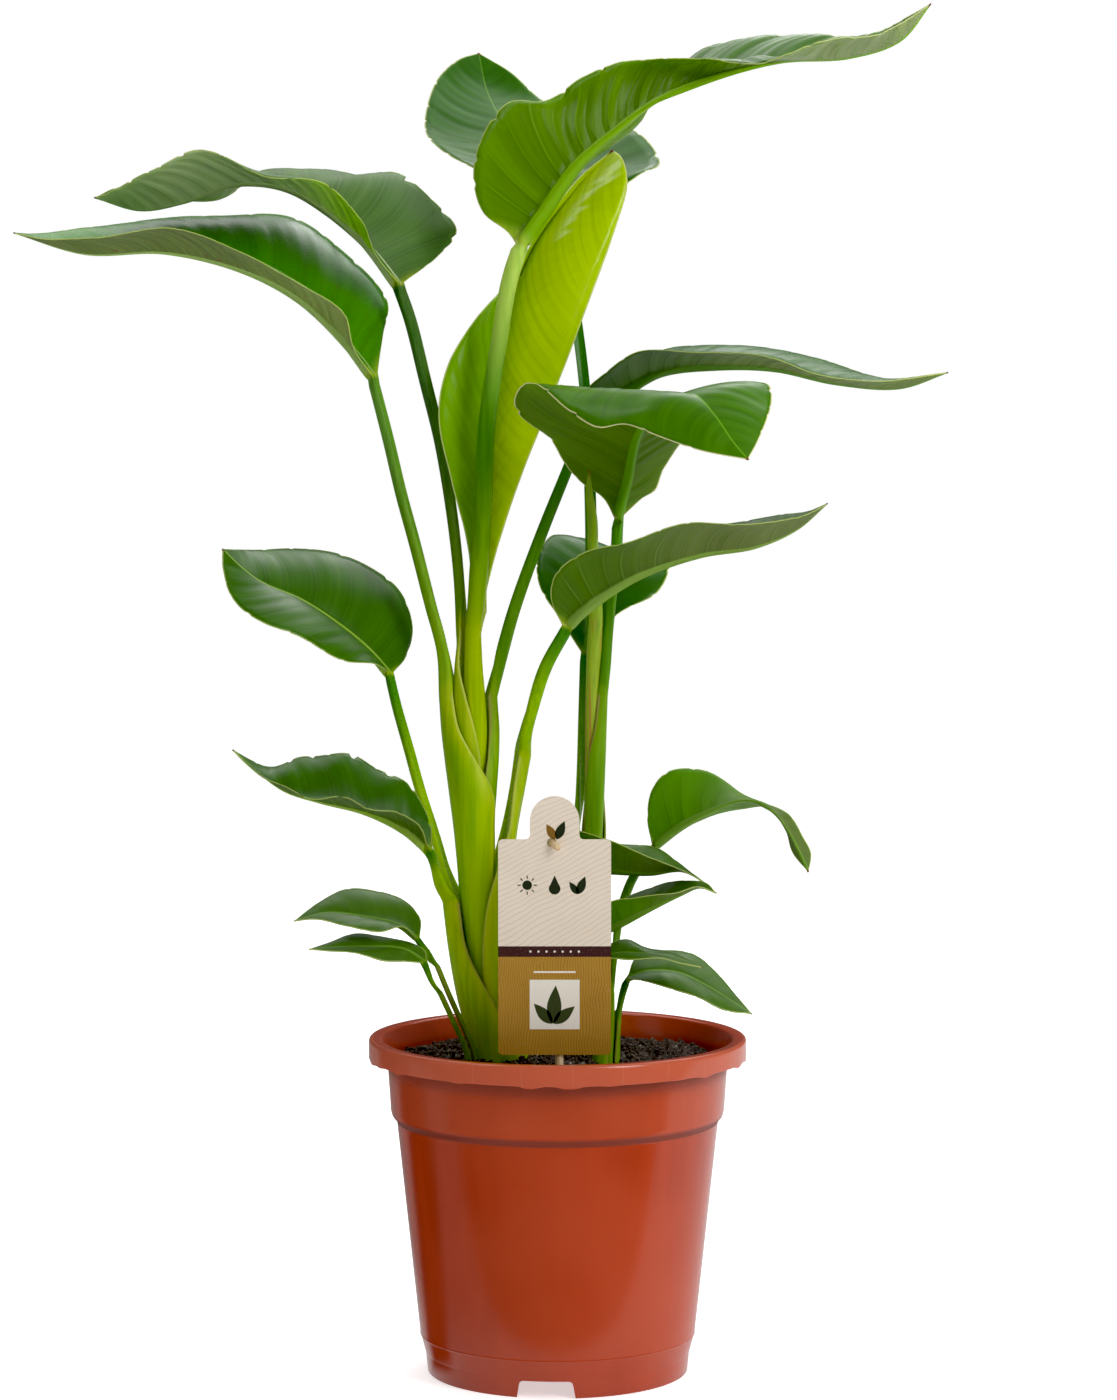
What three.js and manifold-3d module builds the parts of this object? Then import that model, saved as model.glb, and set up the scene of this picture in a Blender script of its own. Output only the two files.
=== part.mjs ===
// Potted giant white bird of paradise, in millimetres, +Z up.
// Three shoots of young leaves and a small side shoot grow from one pot of dark peat. Every leaf is
// one piece: a sheath that clasps the younger leaves inside it, a channelled stalk and a blade with
// two halves folded along the midrib. The camera side of the plant faces -Y.
// The plant is laid out around the pot's axis, and at the end it is moved so that the middle of
// its whole box stands over the origin, with the pot's foot at height zero.

import Module from 'manifold-3d';
import * as THREE from 'three';
import { mergeVertices } from 'three/addons/utils/BufferGeometryUtils.js';

const wasm = await Module();
wasm.setup();

// Pot, a 24 cm thermoformed nursery pot
const RIM_RADIUS = 120;
const POT_HEIGHT = 214;
const WALL = 1.8;
const LIP_SKIRT = 12.7;
const MOUTH_RADIUS = 111;
const COLLAR_BOTTOM = 162;
const COLLAR_STEP_RADIUS = 102.3;
const FOOT_RADIUS = 83;
const FOOT_HEIGHT = 12.5;
const FOOT_RING = 3.7;
const NOTCH_WIDTH = 37;
const NOTCH_HEIGHT = 11;
const NOTCHES = 3;
const FIRST_NOTCH = -5;
const FLOOR_BOTTOM = 11.5;
const FLOOR_TOP = 13.5;
const DRAIN_HOLES = 6;
const DRAIN_RADIUS = 6;
const DRAIN_CIRCLE = 60;
const POT_SIDES = 48;

// Peat, filled to about 14 mm below the rim
const SOIL_TOP = 200;
const SOIL_LUMPS = 2.2;
const SOIL_SAG = 3;
const GAP = 0.35;

// Leaves
const BLADE = 0.8;
const BLADE_CROWDING = 1.3;
const SHEATH_FOOT = 172;
const SHEATH_GAP = 0.5;
const SHEATH_BACK = 2;
const SHEATH_EDGE = 0.8;
const SHEATH_SPREAD = 110;
const SHEATH_SPREAD_AT_TOP = 42;
const SHEATH_OPENING = 90;
const SHEATH_THINNING = 120;
const SHEATH_PARTING = 70;
const COMPASS = 72;

// Label of stiff card on a round stick
const LABEL_WIDTH = 70;
const LABEL_HEIGHT = 134.5;
const LABEL_MIDDLE = -1.8;
const LABEL_BOTTOM = 212;
const LABEL_THICK = 1;
const LABEL_FRONT = -62.5;
const LABEL_CORNER = 3;
const TAB_RADIUS = 15.4;
const TAB_RISE = 11.5;
const EYE_RADIUS = 2.8;
const EYE_ASIDE = -3.6;
const EYE_HEIGHT = 344.4;
const STICK_RADIUS = 2.5;
const STICK_FOOT = 148;
const STICK_TIP_RADIUS = 2.1;

const material = (color, roughness) => new THREE.MeshStandardMaterial({ color, roughness, metalness: 0 });
const finishes = {
  terracotta: material(0xa84426, 0.38),
  peat: material(0x14110e, 0.95),
  leaf: material(0x3f7a1c, 0.35),
  youngLeaf: material(0x9db81c, 0.35),
  backLeaf: material(0x2c5a26, 0.38),
  card: material(0xe3d3bd, 0.8),
  wood: material(0xc59a63, 0.7),
};

// Small helpers

const vector = ([x, y, z]) => new THREE.Vector3(x, y, z);
const radians = THREE.MathUtils.degToRad;
const { clamp, lerp } = THREE.MathUtils;
const smooth = (t) => t * t * (3 - 2 * t);

function rail(points) {
  return new THREE.CatmullRomCurve3(points.map(vector), false, 'centripetal');
}

function triangleSoup(points, faces) {
  const geometry = new THREE.BufferGeometry();
  const positions = points.flatMap((p) => [p.x, p.y, p.z]);
  geometry.setAttribute('position', new THREE.Float32BufferAttribute(positions, 3));
  geometry.setIndex(faces.flat());
  return geometry;
}

function toSolid(geometry) {
  const bare = geometry.clone();
  bare.deleteAttribute('normal');
  bare.deleteAttribute('uv');
  const merged = mergeVertices(bare, 1e-4);
  const index = Uint32Array.from(merged.index.array);
  const at = merged.attributes.position;
  const corners = [0, 1, 2].map(() => new THREE.Vector3());
  let volume = 0;
  for (let i = 0; i < index.length; i += 3) {
    corners.forEach((corner, k) => corner.fromBufferAttribute(at, index[i + k]));
    volume += corners[0].dot(corners[1].clone().cross(corners[2]));
  }
  if (volume < 0) index.reverse();
  const vertProperties = Float32Array.from(at.array);
  return new wasm.Manifold(new wasm.Mesh({ numProp: 3, vertProperties, triVerts: index }));
}

function toGeometry(solid) {
  const { vertProperties, triVerts } = solid.getMesh();
  const geometry = new THREE.BufferGeometry();
  geometry.setAttribute('position', new THREE.BufferAttribute(vertProperties, 3));
  geometry.setIndex(new THREE.BufferAttribute(triVerts, 1));
  geometry.computeVertexNormals();
  return geometry;
}

function upright(shape, depth) {
  const geometry = new THREE.ExtrudeGeometry(shape, { depth, bevelEnabled: false, curveSegments: 8 });
  return geometry;
}

// Pot and soil

function potProfile() {
  const collar = MOUTH_RADIUS - 2.7;
  const skirt = POT_HEIGHT - LIP_SKIRT;
  const profile = [
    [0, FLOOR_BOTTOM],
    [FOOT_RADIUS - FOOT_RING - 1, FLOOR_BOTTOM],
    [FOOT_RADIUS - FOOT_RING, 0],
    [FOOT_RADIUS, 0],
    [FOOT_RADIUS + 1.3, FOOT_HEIGHT],
    [FOOT_RADIUS + 4.6, 24.5],
    [COLLAR_STEP_RADIUS, COLLAR_BOTTOM],
    [COLLAR_STEP_RADIUS + 2.6, COLLAR_BOTTOM + 1.2],
    [COLLAR_STEP_RADIUS + 3.7, COLLAR_BOTTOM + 4.5],
    [collar, skirt],
    [MOUTH_RADIUS + 1.2, POT_HEIGHT - 4],
    [RIM_RADIUS - WALL - 0.4, POT_HEIGHT - 3],
    [RIM_RADIUS - WALL, skirt],
    [RIM_RADIUS, skirt],
    [RIM_RADIUS, POT_HEIGHT - 1.4],
    [RIM_RADIUS - 1.4, POT_HEIGHT],
    [MOUTH_RADIUS + 1, POT_HEIGHT],
    [MOUTH_RADIUS - 1, POT_HEIGHT - 5],
    ...innerWall().slice(1),
    [0, FLOOR_TOP],
  ];
  return profile.map(([r, z]) => new THREE.Vector2(r, z));
}

// The wall's inner face, from the mouth down to the floor
function innerWall() {
  return [
    [MOUTH_RADIUS - 1, POT_HEIGHT - 5],
    [MOUTH_RADIUS - 3.8, POT_HEIGHT - 10],
    [MOUTH_RADIUS - 4.5, POT_HEIGHT - 13],
    [COLLAR_STEP_RADIUS + 1.8, COLLAR_BOTTOM + 5.4],
    [COLLAR_STEP_RADIUS - 1.8, COLLAR_BOTTOM - 1],
    [FOOT_RADIUS + 2.6, 25],
    [FOOT_RADIUS, FLOOR_TOP],
  ];
}

function innerRadius(z) {
  const wall = innerWall();
  const k = wall.findIndex(([, height]) => height <= z);
  const [r1, z1] = wall[k];
  const [r0, z0] = wall[k - 1];
  return lerp(r0, r1, (z0 - z) / (z0 - z1));
}

function notchSolid(turn) {
  const half = NOTCH_WIDTH / 2;
  const shape = new THREE.Shape();
  shape.moveTo(-half, -1);
  shape.lineTo(half, -1);
  shape.lineTo(half - 1.5, NOTCH_HEIGHT - 3);
  shape.quadraticCurveTo(half - 2, NOTCH_HEIGHT, half - 5, NOTCH_HEIGHT);
  shape.lineTo(5 - half, NOTCH_HEIGHT);
  shape.quadraticCurveTo(2 - half, NOTCH_HEIGHT, 1.5 - half, NOTCH_HEIGHT - 3);
  shape.closePath();
  const block = upright(shape, 30).rotateX(Math.PI / 2);
  block.translate(0, -FOOT_RADIUS + 15, 0).rotateZ(turn);
  return toSolid(block);
}

function drainSolid(turn) {
  const bit = new THREE.CylinderGeometry(DRAIN_RADIUS, DRAIN_RADIUS, 8, 16).rotateX(Math.PI / 2);
  bit.translate(DRAIN_CIRCLE, 0, FLOOR_BOTTOM + 1).rotateZ(turn);
  return toSolid(bit);
}

function pot() {
  let body = toSolid(new THREE.LatheGeometry(potProfile(), POT_SIDES).rotateX(Math.PI / 2));
  for (let k = 0; k < NOTCHES; k += 1) {
    body = body.subtract(notchSolid(radians(FIRST_NOTCH) + k * 2 * Math.PI / NOTCHES));
  }
  for (let k = 0; k < DRAIN_HOLES; k += 1) {
    body = body.subtract(drainSolid((k + 0.5) * 2 * Math.PI / DRAIN_HOLES));
  }
  return body;
}

function soilHeight(x, y) {
  const swell = Math.sin(x / 23 + 0.6) * Math.cos(y / 19 - 0.4) + 0.5 * Math.sin((x - y) / 11);
  const sag = SOIL_SAG * (Math.hypot(x, y) / MOUTH_RADIUS) ** 6;
  return SOIL_TOP + SOIL_LUMPS * swell * 0.6 - sag;
}

// A block of peat with a gently uneven top, whose side follows the inside of the pot
function soilBlock() {
  const points = [];
  const rows = [0.22, 0.45, 0.68, 0.86, 1];
  const wall = innerWall().filter(([, z]) => z < SOIL_TOP - 12).slice(0, -1);
  points.push(new THREE.Vector3(0, 0, soilHeight(0, 0)));
  const ring = (radius, height) => {
    for (let k = 0; k < POT_SIDES; k += 1) {
      const turn = (k / POT_SIDES) * 2 * Math.PI;
      const x = radius * Math.sin(turn);
      const y = radius * Math.cos(turn);
      points.push(new THREE.Vector3(x, y, height ?? soilHeight(x, y)));
    }
  };
  const edge = innerRadius(SOIL_TOP - 8) - GAP;
  rows.forEach((share) => ring(share * edge));
  wall.forEach(([r, z]) => ring(r - GAP - 0.3, z));
  ring(FOOT_RADIUS - 0.6, FLOOR_TOP + GAP);
  points.push(new THREE.Vector3(0, 0, FLOOR_TOP + GAP));
  const rings = rows.length + wall.length + 1;
  const faces = [];
  for (let k = 0; k < POT_SIDES; k += 1) {
    const next = (k + 1) % POT_SIDES;
    faces.push([0, 1 + next, 1 + k]);
    for (let j = 0; j < rings - 1; j += 1) {
      const a = 1 + j * POT_SIDES;
      const b = a + POT_SIDES;
      faces.push([a + k, a + next, b + next], [a + k, b + next, b + k]);
    }
    const last = 1 + (rings - 1) * POT_SIDES;
    faces.push([last + k, last + next, points.length - 1]);
  }
  return toSolid(triangleSoup(points, faces));
}

// A plain upright hole in the soil with the outline that a list of points gives
function plainHole(outline, foot) {
  const shape = new THREE.Shape(outline.map(([x, y]) => new THREE.Vector2(x, y)));
  return toSolid(upright(shape, SOIL_TOP + 30 - foot).translate(0, 0, foot));
}

// Lofts. A leaf's ring holds its upper face from the left margin to the right one, and its under
// face in the same columns. Both faces are split along the same diagonals.

function loftLeaf(rings) {
  const columns = rings[0].upper.length;
  const points = rings.flatMap((ring) => [...ring.upper, ...ring.under]);
  const upper = (i, j) => i * 2 * columns + j;
  const under = (i, j) => i * 2 * columns + columns + j;
  const faces = [];
  const last = rings.length - 1;
  for (let i = 0; i < last; i += 1) {
    for (let j = 0; j < columns - 1; j += 1) {
      faces.push([upper(i, j), upper(i, j + 1), upper(i + 1, j + 1)]);
      faces.push([upper(i, j), upper(i + 1, j + 1), upper(i + 1, j)]);
      faces.push([under(i, j), under(i + 1, j + 1), under(i, j + 1)]);
      faces.push([under(i, j), under(i + 1, j), under(i + 1, j + 1)]);
    }
    const r = columns - 1;
    faces.push([upper(i, 0), upper(i + 1, 0), under(i + 1, 0)], [upper(i, 0), under(i + 1, 0), under(i, 0)]);
    faces.push([upper(i, r), under(i, r), under(i + 1, r)], [upper(i, r), under(i + 1, r), upper(i + 1, r)]);
  }
  for (let j = 0; j < columns - 1; j += 1) {
    faces.push([upper(0, j), under(0, j), under(0, j + 1)], [upper(0, j), under(0, j + 1), upper(0, j + 1)]);
    faces.push([upper(last, j), under(last, j + 1), under(last, j)]);
    faces.push([upper(last, j), upper(last, j + 1), under(last, j + 1)]);
  }
  return toSolid(triangleSoup(points, faces));
}

// A round rod along a path, with its own radius at each point
function loftRod(path, radii, sides) {
  const points = [];
  let across = new THREE.Vector3(1, 0, 0);
  path.forEach((point, i) => {
    const ahead = path[Math.min(i + 1, path.length - 1)];
    const behind = path[Math.max(i - 1, 0)];
    const along = ahead.clone().sub(behind).normalize();
    across = across.addScaledVector(along, -across.dot(along)).normalize();
    const other = along.clone().cross(across);
    for (let k = 0; k < sides; k += 1) {
      const turn = (k / sides) * 2 * Math.PI;
      const spoke = across.clone().multiplyScalar(Math.cos(turn)).addScaledVector(other, Math.sin(turn));
      points.push(point.clone().addScaledVector(spoke, radii[i]));
    }
  });
  points.push(path[0].clone(), path[path.length - 1].clone());
  const faces = [];
  const end = (path.length - 1) * sides;
  for (let k = 0; k < sides; k += 1) {
    const next = (k + 1) % sides;
    for (let i = 0; i < path.length - 1; i += 1) {
      const a = i * sides;
      const b = a + sides;
      faces.push([a + k, a + next, b + next], [a + k, b + next, b + k]);
    }
    faces.push([points.length - 2, next, k], [points.length - 1, end + k, end + next]);
  }
  return toSolid(triangleSoup(points, faces));
}

// Leaf sections

// One cross-section of a stalk or a blade: two flat halves that meet in a rib on the under face
function section({ left, middle, right, along, rib, bow = [0, 0], wave = 0, columns }) {
  const toMiddle = middle.clone().sub(left);
  const fromMiddle = right.clone().sub(middle);
  const faceLeft = toMiddle.clone().cross(along).normalize();
  const faceRight = fromMiddle.clone().cross(along).normalize();
  const faceMiddle = faceLeft.clone().add(faceRight).normalize();
  const upper = [];
  const under = [];
  for (let j = -columns; j <= columns; j += 1) {
    const side = j < 0 ? left : right;
    const width = j < 0 ? toMiddle.length() : fromMiddle.length();
    const first = clamp(0.6 * rib.width / width, 0.08, 0.4);
    const share = j === 0 ? 0 : lerp(first, 1, (Math.abs(j) - 1) / (columns - 1));
    const face = j === 0 ? faceMiddle : (j < 0 ? faceLeft : faceRight);
    const rise = (j < 0 ? bow[0] : bow[1]) * 4 * share * (1 - share) * width + wave * share * share;
    const point = middle.clone().lerp(side, share).addScaledVector(face, rise);
    const depth = rib.depth * Math.max(0, 1 - ((share * width) / rib.width) ** 2);
    upper.push(point.clone().addScaledVector(face, BLADE / 2));
    under.push(point.clone().addScaledVector(face, -BLADE / 2 - depth));
  }
  return { upper, under };
}

function bladeRings(leaf) {
  const [left, middle, right] = [leaf.left, leaf.midrib, leaf.right].map(rail);
  const rings = [];
  const stalk = leaf.stalkSize[1];
  for (let k = 0; k <= leaf.steps; k += 1) {
    const u = (k / leaf.steps) ** BLADE_CROWDING;
    const along = middle.getTangentAt(Math.max(u, 0.02));
    const edges = [left.getPointAt(u), middle.getPointAt(u), right.getPointAt(u)];
    if (k === leaf.steps) {
      const across = right.getPointAt(u - 0.03).sub(left.getPointAt(u - 0.03)).normalize();
      edges[0].addScaledVector(across, -0.7);
      edges[2].addScaledVector(across, 0.7);
    }
    const rib = {
      width: (stalk.width / 2) * lerp(1.1, 0.25, u),
      depth: (stalk.depth - BLADE) * (1 - u) ** 2 + 0.5 * (1 - u),
    };
    const wave = leaf.wave * Math.sin(leaf.waves * Math.PI * u) * Math.sin(Math.PI * u);
    const from = leaf.bowFrom ?? 0;
    const bowing = Math.sin(Math.PI * clamp((u - from) / (1 - from), 0, 1));
    const bow = leaf.bow.map((share) => share * bowing);
    rings.push(section({
      left: edges[0], middle: edges[1], right: edges[2], along, rib, bow, wave, columns: leaf.columns,
    }));
  }
  return rings;
}

// The stalk runs from the top of the sheath to the blade, turning from the way the sheath faces
// to the way the blade does
function stalkRings(leaf, start, inward) {
  const path = rail([start.toArray(), ...leaf.stalk]);
  const [left, middle, right] = [leaf.left, leaf.midrib, leaf.right].map(rail);
  const across = right.getPointAt(0.1).sub(left.getPointAt(0.1));
  const bladeFace = across.cross(middle.getTangentAt(0.05)).normalize();
  const rings = [];
  for (let k = 1; k < leaf.stalkSteps; k += 1) {
    const s = k / leaf.stalkSteps;
    const along = path.getTangentAt(s);
    const face = inward.clone().lerp(bladeFace, smooth(s));
    face.addScaledVector(along, -face.dot(along)).normalize();
    const aside = along.clone().cross(face);
    const [low, high] = leaf.stalkSize;
    const width = lerp(low.width, high.width, s);
    const depth = lerp(low.depth, high.depth, s);
    const centre = path.getPointAt(s).addScaledVector(face, (depth / 2) * (1 - s));
    rings.push(section({
      left: centre.clone().addScaledVector(aside, -width / 2),
      middle: centre,
      right: centre.clone().addScaledVector(aside, width / 2),
      along,
      rib: { width: width * 0.55, depth: depth - BLADE },
      columns: leaf.columns,
    }));
  }
  return rings;
}

// Sheaths. The leaves of a shoot clasp each other like the layers of a leek: the youngest stands in
// the middle, and each older one wraps it from its own side, thick at the back and thin at the two
// margins, which draw back as its stalk comes free.

function shootCentre(shoot, height) {
  const k = Math.max(1, shoot.axis.findIndex(([, , z]) => z >= height));
  const [low, high] = [shoot.axis[k - 1], shoot.axis[k]];
  const t = (height - low[2]) / (high[2] - low[2]);
  return new THREE.Vector3(lerp(low[0], high[0], t), lerp(low[1], high[1], t), height);
}

function coreRadius(shoot, height) {
  const [low, high] = shoot.core;
  return lerp(low, high, clamp((height - SHEATH_FOOT) / (shoot.levels.at(-1) - SHEATH_FOOT), 0, 1));
}

// Furthest reach of what is already in the nest, within some degrees of a heading
function reachAround(reach, heading, spread) {
  const step = 360 / COMPASS;
  let most = 0;
  for (let k = Math.floor((heading - spread) / step); k <= Math.ceil((heading + spread) / step); k += 1) {
    most = Math.max(most, reach[((k % COMPASS) + COMPASS) % COMPASS]);
  }
  return most;
}

function sheathSpread(leaf, height) {
  const below = Math.max(0, leaf.top - height);
  const opening = smooth(clamp(1 - below / (leaf.opening ?? SHEATH_OPENING), 0, 1));
  return lerp(leaf.spread ?? SHEATH_SPREAD, leaf.spreadAtTop ?? SHEATH_SPREAD_AT_TOP, opening);
}

function wrapSheath(shoot, leaf, level, reach) {
  const height = shoot.levels[level];
  const below = leaf.top - height;
  const spread = sheathSpread(leaf, height);
  const nearby = [level - 1, level + 1].map((k) => sheathSpread(leaf, shoot.levels[k] ?? height));
  const swing = Math.max(...nearby.map((other) => Math.abs(other - spread)));
  const thinning = clamp(below / SHEATH_THINNING, 0, 1);
  const back = lerp(leaf.stalkSize[0].depth, leaf.sheathBack ?? SHEATH_BACK, thinning);
  const parting = leaf.lean * clamp(1 - below / (leaf.parting ?? SHEATH_PARTING), 0, 1) ** 2;
  const count = 2 * leaf.columns;
  const pitch = (2 * spread) / count;
  const centre = shootCentre(shoot, height);
  const ring = { upper: [], under: [] };
  const outer = [];
  for (let j = 0; j <= count; j += 1) {
    const heading = leaf.back + spread - j * pitch;
    const off = Math.abs(heading - leaf.back) / spread;
    const slack = Math.cos(radians(pitch / 2)) * Math.cos(radians((swing * off) / 2));
    const clear = reachAround(reach, heading, pitch + 0.6 * swing * off) / slack + SHEATH_GAP;
    const inside = clear + parting * Math.max(0, Math.cos(radians(heading - leaf.back)));
    const outside = inside + lerp(SHEATH_EDGE, back, 1 - off * off);
    const spoke = new THREE.Vector3(Math.cos(radians(heading)), Math.sin(radians(heading)), 0);
    ring.upper.push(centre.clone().addScaledVector(spoke, inside));
    ring.under.push(centre.clone().addScaledVector(spoke, outside));
    outer.push({ heading, outside });
  }
  const step = 360 / COMPASS;
  for (let j = 0; j < count; j += 1) {
    const [from, to] = [outer[j + 1], outer[j]];
    for (let k = Math.floor(from.heading / step); k <= Math.ceil(to.heading / step); k += 1) {
      const slot = ((k % COMPASS) + COMPASS) % COMPASS;
      reach[slot] = Math.max(reach[slot], from.outside, to.outside);
    }
  }
  return ring;
}

// Every sheath ring of a shoot, level by level, and how far the whole nest reaches in the soil
function growNest(shoot) {
  const rings = new Map(shoot.leaves.map((leaf) => [leaf.name, []]));
  const soilReach = new Array(COMPASS).fill(0);
  shoot.levels.forEach((height, level) => {
    const reach = new Array(COMPASS).fill(coreRadius(shoot, height));
    for (const leaf of shoot.leaves.filter((one) => height <= one.top)) {
      rings.get(leaf.name).push(wrapSheath(shoot, leaf, level, reach));
    }
    if (height <= SOIL_TOP + 8) {
      const shift = shootCentre(shoot, height).setZ(0).distanceTo(shootCentre(shoot, SHEATH_FOOT).setZ(0));
      reach.forEach((value, k) => { soilReach[k] = Math.max(soilReach[k], value + shift); });
    }
  });
  return { rings, soilReach };
}

function nestOutline(shoot, soilReach) {
  const centre = shootCentre(shoot, SHEATH_FOOT);
  const outline = [];
  for (let k = 0; k < COMPASS; k += 3) {
    const radius = Math.max(...[-2, -1, 0, 1, 2].map((d) => soilReach[(k + d + COMPASS) % COMPASS])) + 0.7;
    const turn = radians((k * 360) / COMPASS);
    outline.push([centre.x + radius * Math.cos(turn), centre.y + radius * Math.sin(turn)]);
  }
  return outline;
}

// Main shoot, eight leaves fanned to the left and right. Each rail is read from base to tip: the
// midrib, then the margins that lie left and right of it on the upper face.

const mainShoot = {
  axis: [[-35, 8, 150], [-35, 8, 207], [-41, 8, 238], [-46, 8, 270], [-49.5, 8, 300], [-51.5, 8, 345], [-52, 8, 480]],
  levels: [172, 207, 238, 270, 300, 325, 345, 372, 392, 410, 430, 450, 470],
  core: [3.4, 5.4],
  leaves: [
    {
      name: 'leaf_top', finish: 'leaf', back: -100, top: 470, lean: 0,
      stalkSize: [{ width: 12, depth: 8 }, { width: 10, depth: 6.5 }], stalkSteps: 6,
      columns: 4, steps: 15, bow: [0.05, 0.07], wave: 1.2, waves: 5,
      stalk: [
        [-50, -3, 511], [-47, -8, 555], [-44, -12, 605], [-36, -15, 658], [-30, -17, 692], [-23, -18, 714],
      ],
      midrib: [
        [-23, -18, 716], [-9, -20, 735], [13, -25, 764], [35, -29, 783], [60, -34, 801],
        [95, -40, 815], [137, -46, 825], [179, -50, 827], [210, -52, 837], [229, -50, 860],
      ],
      left: [
        [-20, -16, 717], [-8, -9, 736], [6, -2, 753], [27, 4, 773], [47, 10, 788], [65, 17, 811],
        [87, 20, 834], [115, 10, 844], [151, -8, 846], [193, -30, 843], [229, -50, 860],
      ],
      right: [
        [-26, -19, 715], [-31, -18, 722], [-47, -12, 735], [-53, -5, 760], [-45, 2, 787], [-30, 8, 804],
        [-7, 8, 805], [17, 3, 820], [42, -8, 829], [86, -46, 827], [126, -78, 823], [158, -84, 834],
        [196, -68, 840], [229, -50, 860],
      ],
    },
    {
      name: 'leaf_left_upper', finish: 'leaf', back: 178, top: 470, lean: 0, spreadAtTop: 34,
      stalkSize: [{ width: 9, depth: 6.5 }, { width: 8, depth: 6 }], stalkSteps: 6,
      columns: 4, steps: 13, bow: [0.07, 0.06], wave: 1.5, waves: 5,
      stalk: [
        [-63, 11, 510], [-67, 13, 548], [-74, 14, 592], [-83, 13, 630], [-92, 11, 668], [-99, 9, 689],
      ],
      midrib: [
        [-99, 9, 691], [-117, 4, 713], [-143, 0, 735], [-171, -2, 750], [-202, -4, 752],
        [-233, -6, 741], [-261, -6, 736], [-290, -4, 744],
      ],
      left: [
        [-101, 5, 692], [-114, -16, 708], [-120, -34, 729], [-143, -48, 748], [-176, -54, 756],
        [-220, -52, 769], [-251, -42, 760], [-275, -20, 748], [-290, -4, 744],
      ],
      right: [
        [-97, 12, 692], [-77, 30, 708], [-64, 44, 727], [-93, 56, 756], [-107, 60, 762], [-123, 58, 760],
        [-141, 58, 766], [-182, 50, 762], [-213, 34, 746], [-245, 22, 746], [-275, 8, 751], [-290, -4, 744],
      ],
    },
    {
      name: 'leaf_right_upper', finish: 'backLeaf', back: -5, top: 430, lean: 0,
      spreadAtTop: 26, opening: 120,
      stalkSize: [{ width: 11, depth: 8 }, { width: 7.5, depth: 6 }], stalkSteps: 6,
      columns: 3, steps: 12, bow: [0.06, 0.06], wave: 1.2, waves: 4,
      stalk: [
        [-33, 8, 446], [-23, 10, 485], [-10, 12, 529], [3, 14, 568], [15, 16, 600], [25, 18, 615],
      ],
      midrib: [
        [25, 18, 617], [41, 16, 624], [65, 12, 636], [102, 8, 639], [137, 4, 637], [175, 0, 628],
        [215, -4, 625], [245, -8, 635],
      ],
      left: [
        [28, 21, 617], [40, 38, 629], [66, 54, 649], [95, 60, 654], [130, 58, 652], [171, 46, 642],
        [208, 20, 632], [245, -8, 635],
      ],
      right: [
        [22, 15, 617], [18, 2, 623], [30, -18, 634], [51, -34, 648], [86, -42, 648], [125, -44, 645],
        [160, -38, 633], [201, -26, 630], [245, -8, 635],
      ],
    },
    {
      name: 'leaf_left_large', finish: 'leaf', back: 183, top: 430, lean: 0,
      spread: 138, spreadAtTop: 30, opening: 75,
      stalkSize: [{ width: 12, depth: 7.5 }, { width: 7, depth: 6 }], stalkSteps: 6,
      columns: 4, steps: 13, bow: [0.06, 0.08], wave: 1.5, waves: 5,
      stalk: [
        [-73, 4, 460], [-80, 2, 489], [-89, -2, 527], [-97, -4, 558], [-105, -7, 594], [-114, -9, 631],
      ],
      midrib: [
        [-114, -9, 633], [-132, -14, 655], [-161, -20, 681], [-198, -24, 699], [-244, -28, 709],
        [-293, -32, 708], [-337, -34, 721],
      ],
      left: [
        [-117, -13, 634], [-127, -38, 650], [-132, -58, 672], [-157, -72, 690], [-196, -78, 707],
        [-239, -78, 723], [-283, -64, 717], [-314, -48, 716], [-337, -34, 721],
      ],
      right: [
        [-113, -5, 635], [-111, 20, 659], [-109, 38, 681], [-132, 50, 710], [-168, 54, 733],
        [-213, 50, 734], [-247, 38, 735], [-294, 10, 726], [-323, -14, 721], [-337, -34, 721],
      ],
    },
    {
      name: 'leaf_left_lower', finish: 'leaf', back: 172, top: 300, lean: 0,
      spreadAtTop: 34, opening: 110,
      stalkSize: [{ width: 12, depth: 5.5 }, { width: 6, depth: 5 }], stalkSteps: 6,
      columns: 3, steps: 12, bow: [0.05, 0.08], wave: 1.4, waves: 5,
      stalk: [
        [-71, 10, 315], [-78, 9, 340], [-87, 8, 370], [-94, 8, 397], [-101, 6, 424], [-105, 4, 443],
      ],
      midrib: [
        [-105, 4, 445], [-120, -3, 462], [-140, -12, 479], [-161, -18, 493], [-185, -24, 504],
        [-198, -28, 514], [-209, -30, 525],
      ],
      left: [
        [-108, 0, 447], [-115, -16, 452], [-132, -38, 456], [-156, -56, 469], [-183, -62, 482],
        [-202, -52, 497], [-208, -40, 512], [-209, -30, 525],
      ],
      right: [
        [-104, 7, 446], [-97, 20, 454], [-93, 34, 474], [-102, 42, 498], [-133, 40, 516],
        [-166, 28, 524], [-193, 4, 523], [-209, -30, 525],
      ],
    },
    {
      name: 'leaf_right_lower', finish: 'leaf', back: 6, top: 392, lean: 12, parting: 300,
      spreadAtTop: 15, opening: 150,
      stalkSize: [{ width: 11, depth: 8 }, { width: 8, depth: 6 }], stalkSteps: 5,
      columns: 3, steps: 12, bow: [0.05, 0.07], wave: 1.4, waves: 5,
      stalk: [
        [-21, -1, 408], [-15, -12, 426], [-6, -25, 452], [5, -36, 477],
      ],
      midrib: [
        [5, -36, 479], [21, -43, 492], [51, -52, 510], [88, -58, 522], [122, -58, 527],
        [148, -55, 538], [167, -50, 554],
      ],
      left: [
        [8, -33, 480], [20, -28, 502], [42, -24, 520], [74, -20, 533], [105, -22, 541],
        [136, -28, 546], [154, -38, 548], [167, -50, 554],
      ],
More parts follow.
